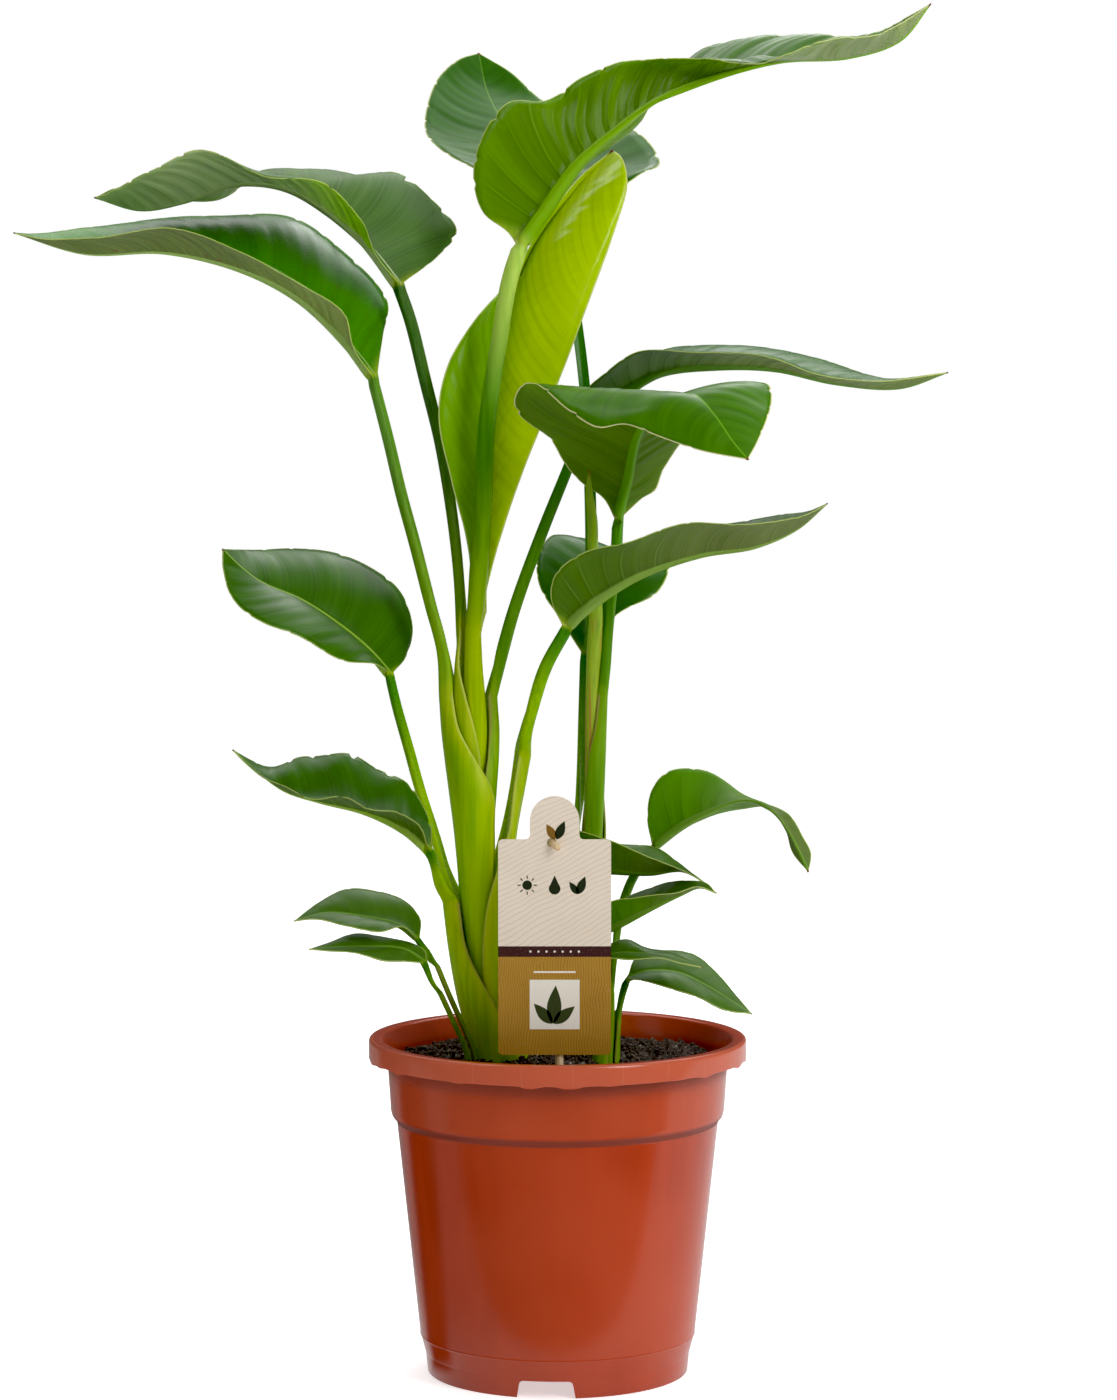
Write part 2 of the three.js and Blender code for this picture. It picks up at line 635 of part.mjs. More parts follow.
      right: [
        [3, -39, 478], [-4, -52, 494], [-1, -66, 511], [17, -80, 526], [47, -90, 532], [81, -94, 543],
        [117, -88, 543], [149, -68, 546], [167, -50, 554],
      ],
    },
    {
      name: 'leaf_left_bottom', finish: 'leaf', back: 207, top: 300, lean: 0,
      spreadAtTop: 14, opening: 120,
      stalkSize: [{ width: 11, depth: 7.5 }, { width: 8, depth: 5 }], stalkSteps: 4,
      columns: 3, steps: 12, bow: [0.05, 0.08], wave: 1.4, waves: 5,
      stalk: [
        [-74, -6, 312], [-76, -9, 324], [-79, -13, 334],
      ],
      midrib: [
        [-80, -14, 335], [-96, -18, 348], [-121, -26, 360], [-149, -32, 367], [-170, -37, 374],
        [-187, -38, 386], [-203, -36, 400],
      ],
      left: [
        [-82, -17, 337], [-88, -36, 355], [-107, -54, 363], [-131, -62, 371], [-159, -60, 374],
        [-180, -50, 383], [-194, -41, 391], [-203, -36, 400],
      ],
      right: [
        [-79, -13, 336], [-81, -8, 353], [-91, -2, 371], [-109, 2, 383], [-135, 0, 394],
        [-160, -6, 393], [-177, -16, 388], [-191, -28, 392], [-203, -36, 400],
      ],
    },
  ],
};

// The main shoot's newest leaf, half unrolled, stands in the middle of the nest
const unrollingLeaf = {
  name: 'leaf_unrolling', finish: 'youngLeaf',
  stalkSize: [{ width: 5, depth: 4.6 }, { width: 7.2, depth: 6.4 }],
  columns: 3, steps: 13, bow: [0.12, 0.16], wave: 0, waves: 4,
  midrib: [
    [-50, 13, 484], [-47, 18, 535], [-38, 22, 599], [-25, 24, 656], [-6, 26, 709], [16, 30, 747], [35, 34, 776],
  ],
  left: [
    [-53, 11, 485], [-57, 8, 526], [-67, 2, 567], [-75, -2, 608], [-69, 0, 640], [-53, 6, 667],
    [-31, 14, 693], [-11, 22, 726], [13, 30, 758], [35, 34, 776],
  ],
  right: [
    [-48, 11, 485], [-40, 8, 517], [-26, 4, 561], [-10, 2, 602], [5, 2, 640], [20, 4, 680],
    [35, 8, 721], [44, 14, 753], [41, 24, 770], [35, 34, 776],
  ],
};

// Right shoot, three leaves round a rolled new one
const rightShoot = {
  axis: [[20, 15, 150], [20, 15, 207], [21.5, 15, 345], [22, 15, 430]],
  levels: [172, 207, 260, 315, 345, 372, 392, 410, 430],
  core: [3, 4.4],
  leaves: [
    {
      name: 'leaf_right_arched', finish: 'leaf', back: -20, top: 430, lean: 0, sheathBack: 1.8,
      spread: 124, spreadAtTop: 30, opening: 62, bowFrom: 0.35,
      stalkSize: [{ width: 7, depth: 5.5 }, { width: 7, depth: 5.5 }], stalkSteps: 5,
      columns: 4, steps: 16, bow: [0.06, 0.14], wave: 0, waves: 4,
      stalk: [
        [31, 12, 448], [32, 13, 468], [34, 14, 492], [37, 14, 518], [38, 14, 541],
      ],
      midrib: [
        [38, 14, 544], [44, -1, 567], [50, -30, 596], [64, -65, 616], [82, -91, 621], [95, -112, 608],
        [105, -123, 593], [114, -130, 582],
      ],
      left: [
        [42, 15, 545], [54, 13, 556], [62, 12, 561], [66, 8, 572], [73, 0, 584], [85, -17, 601],
        [104, -42, 622], [117, -58, 627], [126, -69, 628], [130, -80, 625], [130, -90, 616],
        [127, -103, 607], [120, -120, 592], [114, -130, 582],
      ],
      right: [
        [36, 13, 543], [29, 10, 556], [16, 3, 565], [5, -4, 577], [-5, -13, 594], [-16, -20, 602],
        [-25, -26, 610], [-27, -30, 618], [-22, -38, 627], [-15, -48, 628], [-9, -61, 625],
        [6, -82, 612], [24, -96, 601], [41, -104, 603], [60, -113, 596], [87, -124, 587],
        [114, -130, 582],
      ],
    },
    {
      name: 'leaf_back_top', finish: 'backLeaf', back: 80, top: 392, lean: 1, sheathBack: 1.8,
      spreadAtTop: 26,
      stalkSize: [{ width: 8, depth: 5 }, { width: 6.5, depth: 5 }], stalkSteps: 7,
      columns: 3, steps: 12, bow: [-0.05, -0.05], wave: 1.4, waves: 4,
      stalk: [
        [23, 24, 433], [22, 29, 490], [21, 34, 554], [18, 39, 618], [12, 43, 669], [5, 46, 710], [0, 48, 732],
      ],
      midrib: [
        [0, 48, 734], [-11, 68, 755], [-24, 104, 780], [-38, 142, 804], [-48, 174, 826], [-53, 190, 850],
      ],
      left: [
        [-3, 49, 735], [-24, 52, 747], [-53, 66, 766], [-77, 88, 782], [-87, 118, 795],
        [-80, 158, 830], [-66, 178, 845], [-53, 190, 850],
      ],
      right: [
        [2, 49, 734], [27, 50, 742], [53, 62, 762], [66, 84, 771], [54, 120, 792], [21, 152, 804],
        [-10, 176, 818], [-31, 186, 837], [-53, 190, 850],
      ],
    },
    {
      name: 'leaf_back_lower', finish: 'backLeaf', back: 148, top: 345, lean: 1, sheathBack: 1.8,
      spreadAtTop: 22,
      stalkSize: [{ width: 7, depth: 4.5 }, { width: 5, depth: 4 }], stalkSteps: 4,
      columns: 3, steps: 12, bow: [0.06, 0.06], wave: 1.4, waves: 4,
      stalk: [
        [14, 27, 369], [16, 30, 413], [17, 33, 455],
      ],
      midrib: [
        [17, 33, 457], [22, 42, 480], [29, 60, 505], [34, 90, 521], [39, 126, 514], [43, 160, 490],
      ],
      left: [
        [15, 33, 457], [2, 34, 477], [-11, 44, 497], [-13, 62, 516], [-4, 88, 529], [15, 120, 520],
        [31, 146, 501], [43, 160, 490],
      ],
      right: [
        [19, 33, 457], [38, 38, 480], [63, 44, 494], [73, 66, 513], [70, 96, 523], [58, 134, 511],
        [43, 160, 490],
      ],
    },
  ],
};

// The right shoot's new leaf, still rolled up into a spear
const spear = {
  name: 'leaf_rolled_spear', finish: 'youngLeaf', sides: 12,
  path: [
    [20, 15, 172], [20, 15, 207], [21.5, 15, 345], [22, 15, 425], [23, 12, 459], [24, 8, 485],
    [22, 2, 517], [22, -3, 542], [20, -7, 561], [20, -9, 574],
  ],
  radii: [2.9, 3.1, 3.8, 4.2, 4.7, 4.3, 3.7, 3.2, 2, 0.5],
};

// Side shoot left of the main one
const leftSucker = {
  axis: [[-54, -12, 150], [-54, -12, 203], [-63, -17, 225], [-70, -21, 241], [-79, -26, 264]],
  levels: [172, 207, 225, 244, 262],
  core: [1.2, 1.2],
  leaves: [
    {
      name: 'sucker_left_leaf_upper', finish: 'backLeaf', back: 20, top: 262, lean: 0, sheathBack: 2.4, spread: 75, spreadAtTop: 45,
      stalkSize: [{ width: 5, depth: 3 }, { width: 4.5, depth: 3 }], stalkSteps: 3,
      columns: 3, steps: 9, bow: [0.05, 0.08], wave: 0.8, waves: 4,
      stalk: [
        [-82, -23, 270], [-87, -22, 278],
      ],
      midrib: [
        [-88, -22, 280], [-99, -24, 288], [-121, -28, 294], [-146, -32, 297], [-165, -34, 292],
      ],
      left: [
        [-89, -25, 280], [-97, -34, 288], [-111, -44, 287], [-133, -46, 290], [-150, -40, 294], [-165, -34, 292],
      ],
      right: [
        [-87, -20, 280], [-87, -12, 291], [-101, -6, 304], [-131, -8, 309], [-151, -22, 302], [-165, -34, 292],
      ],
    },
    {
      name: 'sucker_left_leaf_lower', finish: 'leaf', back: 215, top: 244, lean: 0, sheathBack: 2.4, spread: 75, spreadAtTop: 45,
      stalkSize: [{ width: 5, depth: 3 }, { width: 4.5, depth: 3 }], stalkSteps: 3,
      columns: 3, steps: 9, bow: [0.05, 0.08], wave: 0.8, waves: 4,
      stalk: [
        [-79, -31, 254], [-83, -33, 265],
      ],
      midrib: [
        [-84, -34, 267], [-96, -38, 275], [-121, -43, 277], [-142, -46, 277], [-155, -48, 276],
      ],
      left: [
        [-85, -37, 266], [-95, -48, 268], [-108, -54, 270], [-132, -55, 275], [-155, -48, 276],
      ],
      right: [
        [-82, -32, 267], [-84, -28, 273], [-103, -25, 280], [-127, -30, 283], [-144, -39, 279], [-155, -48, 276],
      ],
    },
  ],
};

// Side shoot of five small leaves right of the label
const rightSucker = {
  axis: [[30, -17, 150], [30, -17, 207], [31, -18, 226], [31, -19, 245]],
  levels: [172, 207, 226, 245],
  core: [1.2, 1.2],
  leaves: [
    {
      name: 'sucker_right_leaf_top', finish: 'leaf', back: -10, top: 245, lean: 0, sheathBack: 1.4, spread: 75, spreadAtTop: 45,
      stalkSize: [{ width: 6, depth: 3 }, { width: 5.5, depth: 3.6 }], stalkSteps: 4,
      columns: 3, steps: 10, bow: [0.05, 0.08], wave: 0.8, waves: 4,
      stalk: [
        [37, -8, 271], [40, -2, 293], [47, 4, 313], [55, 6, 326], [60, 6, 334],
      ],
      midrib: [
        [61, 6, 335], [77, 1, 347], [97, -6, 358], [118, -14, 366], [132, -21, 362],
        [142, -26, 352], [150, -31, 338], [157, -35, 323],
      ],
      left: [
        [63, 8, 335], [79, 14, 344], [103, 18, 355], [122, 12, 359], [133, -1, 359], [144, -16, 347],
        [148, -26, 334], [157, -35, 323],
      ],
      right: [
        [60, 5, 336], [57, 11, 352], [60, 18, 370], [71, 24, 381], [95, 24, 381], [117, 10, 369],
        [131, -2, 364], [146, -16, 357], [154, -24, 344], [159, -30, 334], [157, -35, 323],
      ],
    },
    {
      name: 'sucker_right_leaf_upper', finish: 'leaf', back: 170, top: 245, lean: 0, sheathBack: 1.4, spread: 75, spreadAtTop: 45,
      stalkSize: [{ width: 6, depth: 3 }, { width: 5, depth: 3.4 }], stalkSteps: 4,
      columns: 3, steps: 10, bow: [0.05, 0.08], wave: 0.8, waves: 4,
      stalk: [
        [23, -15, 272], [15, -17, 296], [5, -19, 316], [-2, -21, 326],
      ],
      midrib: [
        [-3, -21, 327], [14, -24, 324], [36, -28, 322], [58, -31, 321], [78, -32, 323], [92, -30, 316],
      ],
      left: [
        [-1, -19, 328], [13, -12, 334], [30, -6, 338], [47, -4, 337], [62, -6, 335], [76, -14, 327], [92, -30, 316],
      ],
      right: [
        [-4, -23, 329], [-14, -30, 338], [-17, -38, 348], [-2, -46, 354], [26, -52, 347], [54, -50, 335],
        [76, -42, 326], [92, -30, 316],
      ],
    },
    {
      name: 'sucker_right_leaf_middle', finish: 'leaf', back: -80, top: 245, lean: 0, sheathBack: 1.4, spread: 75, spreadAtTop: 45,
      stalkSize: [{ width: 5.5, depth: 3 }, { width: 5, depth: 3.2 }], stalkSteps: 3,
      columns: 3, steps: 9, bow: [0.05, 0.08], wave: 0.8, waves: 4,
      stalk: [
        [30, -25, 260], [29, -25, 273], [27, -25, 282],
      ],
      midrib: [
        [27, -26, 284], [40, -31, 290], [59, -36, 300], [77, -40, 309], [89, -43, 314], [99, -46, 311],
      ],
      left: [
        [29, -24, 284], [34, -16, 294], [44, -13, 305], [65, -18, 313], [82, -30, 317], [93, -40, 317],
        [99, -46, 311],
      ],
      right: [
        [25, -28, 285], [24, -40, 297], [34, -50, 307], [54, -56, 310], [73, -56, 312], [87, -52, 316],
        [99, -46, 311],
      ],
    },
    {
      name: 'sucker_right_leaf_lower', finish: 'leaf', back: -125, top: 226, lean: 1, sheathBack: 1.4, spread: 70, spreadAtTop: 45,
      stalkSize: [{ width: 5.5, depth: 3 }, { width: 5, depth: 3.2 }], stalkSteps: 3,
      columns: 3, steps: 9, bow: [0.05, 0.08], wave: 0.8, waves: 4,
      stalk: [
        [26, -31, 242], [25, -35, 255], [25, -36, 264],
      ],
      midrib: [
        [26, -37, 266], [36, -40, 272], [55, -46, 273], [73, -50, 271], [90, -52, 265],
      ],
      left: [
        [27, -35, 267], [32, -31, 276], [44, -28, 280], [58, -32, 274], [75, -41, 272], [90, -52, 265],
      ],
      right: [
        [25, -39, 265], [30, -49, 270], [45, -56, 271], [64, -58, 271], [79, -56, 268], [90, -52, 265],
      ],
    },
    {
      name: 'sucker_right_leaf_bottom', finish: 'backLeaf', back: 8, top: 226, lean: 1, sheathBack: 1.4, spread: 70, spreadAtTop: 45,
      stalkSize: [{ width: 5.5, depth: 3 }, { width: 5, depth: 3.2 }], stalkSteps: 3,
      columns: 3, steps: 9, bow: [0.05, 0.08], wave: 0.8, waves: 4,
      stalk: [
        [40, -15, 238], [42, -14, 247], [44, -13, 253],
      ],
      midrib: [
        [45, -12, 254], [58, -14, 258], [77, -18, 257], [97, -24, 248], [122, -32, 233],
      ],
      left: [
        [45, -10, 255], [49, 0, 263], [65, 8, 268], [84, 6, 267], [102, -8, 254], [114, -22, 242],
        [122, -32, 233],
      ],
      right: [
        [43, -14, 253], [53, -26, 253], [71, -36, 250], [88, -41, 244], [103, -40, 237], [122, -32, 233],
      ],
    },
  ],
};

// Building the leaves

function leafSolid(leaf, sheath) {
  const top = sheath.at(-1);
  const middle = leaf.columns;
  const start = top.upper[middle].clone().lerp(top.under[middle], 0.5);
  const inward = top.upper[middle].clone().sub(top.under[middle]).normalize();
  return loftLeaf([...sheath, ...stalkRings(leaf, start, inward), ...bladeRings(leaf)]);
}

// The unrolling leaf's foot is a slim stem that fills the middle of the main shoot
function unrollingSolid(leaf, shoot) {
  const [low, high] = leaf.stalkSize;
  const rings = shoot.levels.map((height) => {
    const t = (height - SHEATH_FOOT) / (shoot.levels.at(-1) - SHEATH_FOOT);
    const half = lerp(low.width, high.width, t) / 2;
    const depth = lerp(low.depth, high.depth, t);
    const centre = shootCentre(shoot, height).add(new THREE.Vector3(0, -depth / 2, 0));
    const aside = new THREE.Vector3(half, 0, 0);
    return section({
      left: centre.clone().sub(aside),
      middle: centre,
      right: centre.clone().add(aside),
      along: new THREE.Vector3(0, 0, 1),
      rib: { width: half * 1.1, depth: depth - BLADE },
      columns: leaf.columns,
    });
  });
  return loftLeaf([...rings, ...bladeRings(leaf)]);
}

// Label and stick

function labelSolid() {
  const half = LABEL_WIDTH / 2;
  const r = LABEL_CORNER;
  const h = LABEL_HEIGHT;
  const shape = new THREE.Shape();
  shape.moveTo(-half + r, 0);
  shape.lineTo(half - r, 0);
  shape.absarc(half - r, r, r, -Math.PI / 2, 0, false);
  shape.lineTo(half, h - r);
  shape.absarc(half - r, h - r, r, 0, Math.PI / 2, false);
  shape.lineTo(TAB_RADIUS + 3, h);
  shape.quadraticCurveTo(TAB_RADIUS, h, TAB_RADIUS, h + 3);
  shape.lineTo(TAB_RADIUS, h + TAB_RISE);
  shape.absarc(0, h + TAB_RISE, TAB_RADIUS, 0, Math.PI, false);
  shape.lineTo(-TAB_RADIUS, h + 3);
  shape.quadraticCurveTo(-TAB_RADIUS, h, -TAB_RADIUS - 3, h);
  shape.lineTo(-half + r, h);
  shape.absarc(-half + r, h - r, r, Math.PI / 2, Math.PI, false);
  shape.lineTo(-half, r);
  shape.absarc(-half + r, r, r, Math.PI, 1.5 * Math.PI, false);
  const eye = new THREE.Path();
  eye.absarc(EYE_ASIDE - LABEL_MIDDLE, EYE_HEIGHT - LABEL_BOTTOM, EYE_RADIUS, 0, 2 * Math.PI, true);
  shape.holes.push(eye);
  const card = upright(shape, LABEL_THICK).rotateX(Math.PI / 2);
  return toSolid(card.translate(LABEL_MIDDLE, LABEL_FRONT + LABEL_THICK, LABEL_BOTTOM));
}

// The stick stands behind the label, and its whittled tip bends forward through the label's eye
function stickSolid() {
  const y = LABEL_FRONT + LABEL_THICK + GAP + STICK_RADIUS;
  const path = [
    [1, y, STICK_FOOT], [1, y, 215], [-2.4, y, 320], [-3.3, y, 336], [EYE_ASIDE, y - 0.6, EYE_HEIGHT - 2.6],
    [EYE_ASIDE, LABEL_FRONT + LABEL_THICK + 1.2, EYE_HEIGHT], [EYE_ASIDE, LABEL_FRONT - 0.4, EYE_HEIGHT],
    [EYE_ASIDE + 1.4, LABEL_FRONT - 3, EYE_HEIGHT - 0.8], [EYE_ASIDE + 4, LABEL_FRONT - 6, EYE_HEIGHT - 3],
  ];
  const tip = STICK_TIP_RADIUS;
  const radii = [STICK_RADIUS, STICK_RADIUS, STICK_RADIUS, STICK_RADIUS, 2.3, tip, tip, tip, tip - 0.3];
  return loftRod(path.map(vector), radii, 10);
}

// Assembly

const plant = new THREE.Group();

function place(name, solid, finish) {
  const mesh = new THREE.Mesh(toGeometry(solid), finishes[finish]);
  mesh.name = name;
  plant.add(mesh);
}

place('pot', pot(), 'terracotta');

let soil = soilBlock();
for (const shoot of [mainShoot, rightShoot, leftSucker, rightSucker]) {
  const { rings, soilReach } = growNest(shoot);
  soil = soil.subtract(plainHole(nestOutline(shoot, soilReach), SHEATH_FOOT - GAP));
  for (const leaf of shoot.leaves) {
    place(leaf.name, leafSolid(leaf, rings.get(leaf.name)), leaf.finish);
  }
}
place(unrollingLeaf.name, unrollingSolid(unrollingLeaf, mainShoot), unrollingLeaf.finish);
place(spear.name, loftRod(spear.path.map(vector), spear.radii, spear.sides), spear.finish);

const stickHole = new THREE.CylinderGeometry(STICK_RADIUS + GAP, STICK_RADIUS + GAP, 90, 12).rotateX(Math.PI / 2);
stickHole.translate(1, LABEL_FRONT + LABEL_THICK + GAP + STICK_RADIUS, STICK_FOOT - GAP + 45);
place('soil', soil.subtract(toSolid(stickHole)), 'peat');
place('label', labelSolid(), 'card');
place('label_stick', stickSolid(), 'wood');

const box = new THREE.Box3().setFromObject(plant);
const middle = box.getCenter(new THREE.Vector3());
plant.position.set(-middle.x, -middle.y, -box.min.z);

export default plant;
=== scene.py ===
import math
import random

import bmesh
import bpy
import numpy as np
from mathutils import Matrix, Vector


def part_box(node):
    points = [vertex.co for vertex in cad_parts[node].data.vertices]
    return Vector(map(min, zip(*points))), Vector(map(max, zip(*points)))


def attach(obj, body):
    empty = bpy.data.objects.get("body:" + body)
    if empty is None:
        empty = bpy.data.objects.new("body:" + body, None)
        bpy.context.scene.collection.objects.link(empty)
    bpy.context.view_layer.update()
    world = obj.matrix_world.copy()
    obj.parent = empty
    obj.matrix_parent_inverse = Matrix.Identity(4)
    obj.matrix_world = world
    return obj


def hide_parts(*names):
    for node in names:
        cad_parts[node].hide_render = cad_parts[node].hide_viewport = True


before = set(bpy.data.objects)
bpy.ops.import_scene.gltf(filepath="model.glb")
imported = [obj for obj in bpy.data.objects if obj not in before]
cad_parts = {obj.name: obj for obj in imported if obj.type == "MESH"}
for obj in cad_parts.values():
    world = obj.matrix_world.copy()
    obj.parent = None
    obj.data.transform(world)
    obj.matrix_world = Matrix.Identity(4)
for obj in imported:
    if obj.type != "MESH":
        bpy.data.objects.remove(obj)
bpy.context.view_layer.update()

# Camera, floor and light. The plant stands on a pale studio floor, between two upright soft boxes and
# under a large one set back a little, so that light comes through the blades. Two small windows give
# them their highlights. The camera is a long lens 2.6 m away, a little above the plant's middle.
low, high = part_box("pot")
POT_X, POT_Y = (low.x + high.x) / 2, (low.y + high.y) / 2
CAMERA_AWAY, CAMERA_ASIDE, CAMERA_HEIGHT, CAMERA_DOWN = 2.6, 0.0006, 0.616, 4.125
SENSOR = 36
LENS = 4121 / 1400 * SENSOR
BLACK_LEVEL = 0.011
FLOOR = 12


def colour(text):
    """A screen colour such as 5a8a1e as linear red, green, blue and alpha."""
    shares = [int(text[k:k + 2], 16) / 255 for k in (0, 2, 4)]
    return tuple(((c + 0.055) / 1.055) ** 2.4 if c > 0.04045 else c / 12.92 for c in shares) + (1.0,)


def node(tree, kind, sockets=None, **settings):
    """A new shader node. A socket gets either a value or the output of another node."""
    made = tree.nodes.new("ShaderNode" + kind)
    for key, value in settings.items():
        setattr(made, key, value)
    for key, value in (sockets or {}).items():
        if isinstance(value, bpy.types.NodeSocket):
            tree.links.new(value, made.inputs[key])
        else:
            made.inputs[key].default_value = value
    return made


def fed(kind, sockets, **settings):
    """A new node in the tree of the outputs that it is fed with."""
    tree = next(value.id_data for value in sockets.values() if isinstance(value, bpy.types.NodeSocket))
    return node(tree, kind, sockets, **settings)


def reckon(operation, *values):
    return fed("Math", dict(enumerate(values)), operation=operation).outputs[0]


def times(first, *others):
    """The product of some values."""
    for other in others:
        first = reckon("MULTIPLY", first, other)
    return first


def either(share, first, second):
    """A number that goes from the first to the second as the share goes from 0 to 1."""
    return fed("Mix", {0: share, 2: first, 3: second}).outputs[0]


def blend(share, under, over, how="MIX"):
    """Mixes two colours, each an output, its four values or its text."""
    under, over = (colour(tone) if isinstance(tone, str) else tone for tone in (under, over))
    return fed("Mix", {0: share, 6: under, 7: over}, data_type="RGBA", blend_type=how).outputs[2]


def between(value, start, end, low=0.0, high=1.0):
    """A smooth step of a value from low at start to high at end."""
    sockets = {0: value, 1: start, 2: end, 3: low, 4: high}
    return fed("MapRange", sockets, interpolation_type="SMOOTHSTEP").outputs[0]


def parts(vector):
    return fed("SeparateXYZ", {0: vector}).outputs


def noise(vector, scale, detail=3.0, rough=0.55):
    sockets = {"Vector": vector, "Scale": scale, "Detail": detail, "Roughness": rough}
    return fed("TexNoise", sockets).outputs["Fac"]


def stretched(vector, scale, turn=(0, 0, 0)):
    return fed("Mapping", {"Vector": vector, "Scale": scale, "Rotation": turn}).outputs[0]


def finish(name, **constants):
    """A new material: its node tree and its shader, with the values that are the same all over."""
    made = bpy.data.materials.new(name)
    made.use_nodes = True
    shader = made.node_tree.nodes["Principled BSDF"]
    for key, value in constants.items():
        shader.inputs[key.replace("_", " ")].default_value = value
    return made, made.node_tree, shader


def own_place(tree):
    return node(tree, "TexCoord").outputs["Object"]


def dress(shader, base, rough=None, relief=None, deep=0.0):
    """Connects a colour, a roughness and a relief, which is so many metres deep, to the shader."""
    links = shader.id_data.links
    links.new(base, shader.inputs["Base Color"])
    if rough:
        links.new(rough, shader.inputs["Roughness"])
    if relief:
        bump = fed("Bump", {"Height": relief, "Distance": deep, "Strength": 1.0})
        links.new(bump.outputs[0], shader.inputs["Normal"])


camera_data = bpy.data.cameras.new("camera")
camera_data.lens = LENS
camera_data.sensor_width = SENSOR
camera_data.clip_end = 100
camera = bpy.data.objects.new("camera", camera_data)
camera.location = (POT_X + CAMERA_ASIDE, POT_Y - CAMERA_AWAY, CAMERA_HEIGHT)
camera.rotation_euler = (math.radians(90 - CAMERA_DOWN), 0, 0)
bpy.context.scene.collection.objects.link(camera)
bpy.context.scene.camera = camera
view = bpy.context.scene.view_settings
view.view_transform = "Standard"
view.use_curve_mapping = True
view.curve_mapping.black_level = [BLACK_LEVEL] * 3
view.curve_mapping.update()

world = bpy.data.worlds.new("white room")
world.use_nodes = True
room = world.node_tree
room.nodes.clear()
aside, away, _ = parts(node(room, "TexCoord").outputs["Generated"])
rays = node(room, "LightPath").outputs
dimmed = times(between(away, -0.8, 0.2, 0.34, 0.8), between(aside, -1.0, 0.3, 0.25, 1.12))
power = either(rays["Is Glossy Ray"], dimmed, 0.08)
power = either(rays["Is Camera Ray"], power, 1.0)
light = node(room, "Background", {"Color": (1, 1, 1, 1), "Strength": power})
room.links.new(light.outputs[0], node(room, "OutputWorld").inputs[0])
bpy.context.scene.world = world


def soft_box(name, place, aim, size, watts):
    """A lamp that the camera doesn't see, at a place in metres and turned to what it aims at."""
    data = bpy.data.lights.new(name, "AREA")
    data.shape, data.size, data.size_y, data.energy = "RECTANGLE", *size, watts
    made = bpy.data.objects.new(name, data)
    made.location = place
    x, y, z = np.array(place) - np.array(aim)
    made.rotation_euler = (math.atan2(math.hypot(x, y), z), 0, math.atan2(x, -y))
    made.visible_camera = False
    bpy.context.scene.collection.objects.link(made)


soft_box("overhead soft box", (0.2, 1.2, 2.3), (0, 0, 0.6), (2.6, 2.0), 26)
soft_box("back window", (0.34, 1.53, 1.77), (-0.11, 0.01, 0.72), (0.45, 0.35), 1.8)
soft_box("left window", (-0.83, -0.17, 2.05), (0.07, 0, 0.75), (0.4, 0.5), 3.5)
soft_box("left soft box", (-1.8, -0.6, 1.0), (0, 0, 0.45), (0.6, 1.7), 1.0)
soft_box("right soft box", (1.5, -1.6, 1.6), (0, 0, 0.45), (0.8, 1.6), 26)

floor_mesh = bpy.data.meshes.new("studio floor")
floor_mesh.from_pydata([(x * FLOOR, y * FLOOR, 0) for x, y in ((-1, -1), (1, -1), (1, 1), (-1, 1))],
                       [], [(0, 1, 2, 3)])
floor = bpy.data.objects.new("studio_floor", floor_mesh)
bpy.context.scene.collection.objects.link(floor)
floor_finish, tree, shader = finish("matt white floor", Roughness=0.6, Specular_IOR_Level=0.2,
                                    Emission_Color=(1, 1, 1, 1))
rays = node(tree, "LightPath").outputs
place = own_place(tree)
aside, away, _ = parts(place)
# What the shiny pot mirrors of the floor: little of what lies in front of it, less on its left, and
# nothing in a wedge behind it on the left
lit = between(away, POT_Y - 0.175, POT_Y - 0.150, 0.02, 0.75)
slant = reckon("DIVIDE", reckon("SUBTRACT", away, POT_Y - 0.05),
               reckon("SUBTRACT", POT_X - 0.05, aside))
wedge = times(between(slant, 0.05, 0.3), between(slant, 1.2, 0.9),
              between(aside, POT_X - 0.08, POT_X - 0.10))
lit = times(lit, reckon("SUBTRACT", 1.0, wedge),
            between(aside, POT_X - 0.25, POT_X - 0.05, 0.35, 1))
white = blend(noise(place, 40.0), "f6f6f6", "fafafa")
dress(shader, blend(rays["Is Glossy Ray"], white, (0, 0, 0, 1)))
shining = either(rays["Is Glossy Ray"], 0.12, lit)
shining = either(rays["Is Camera Ray"], shining, 0.55)
tree.links.new(shining, shader.inputs["Emission Strength"])
floor_mesh.materials.append(floor_finish)

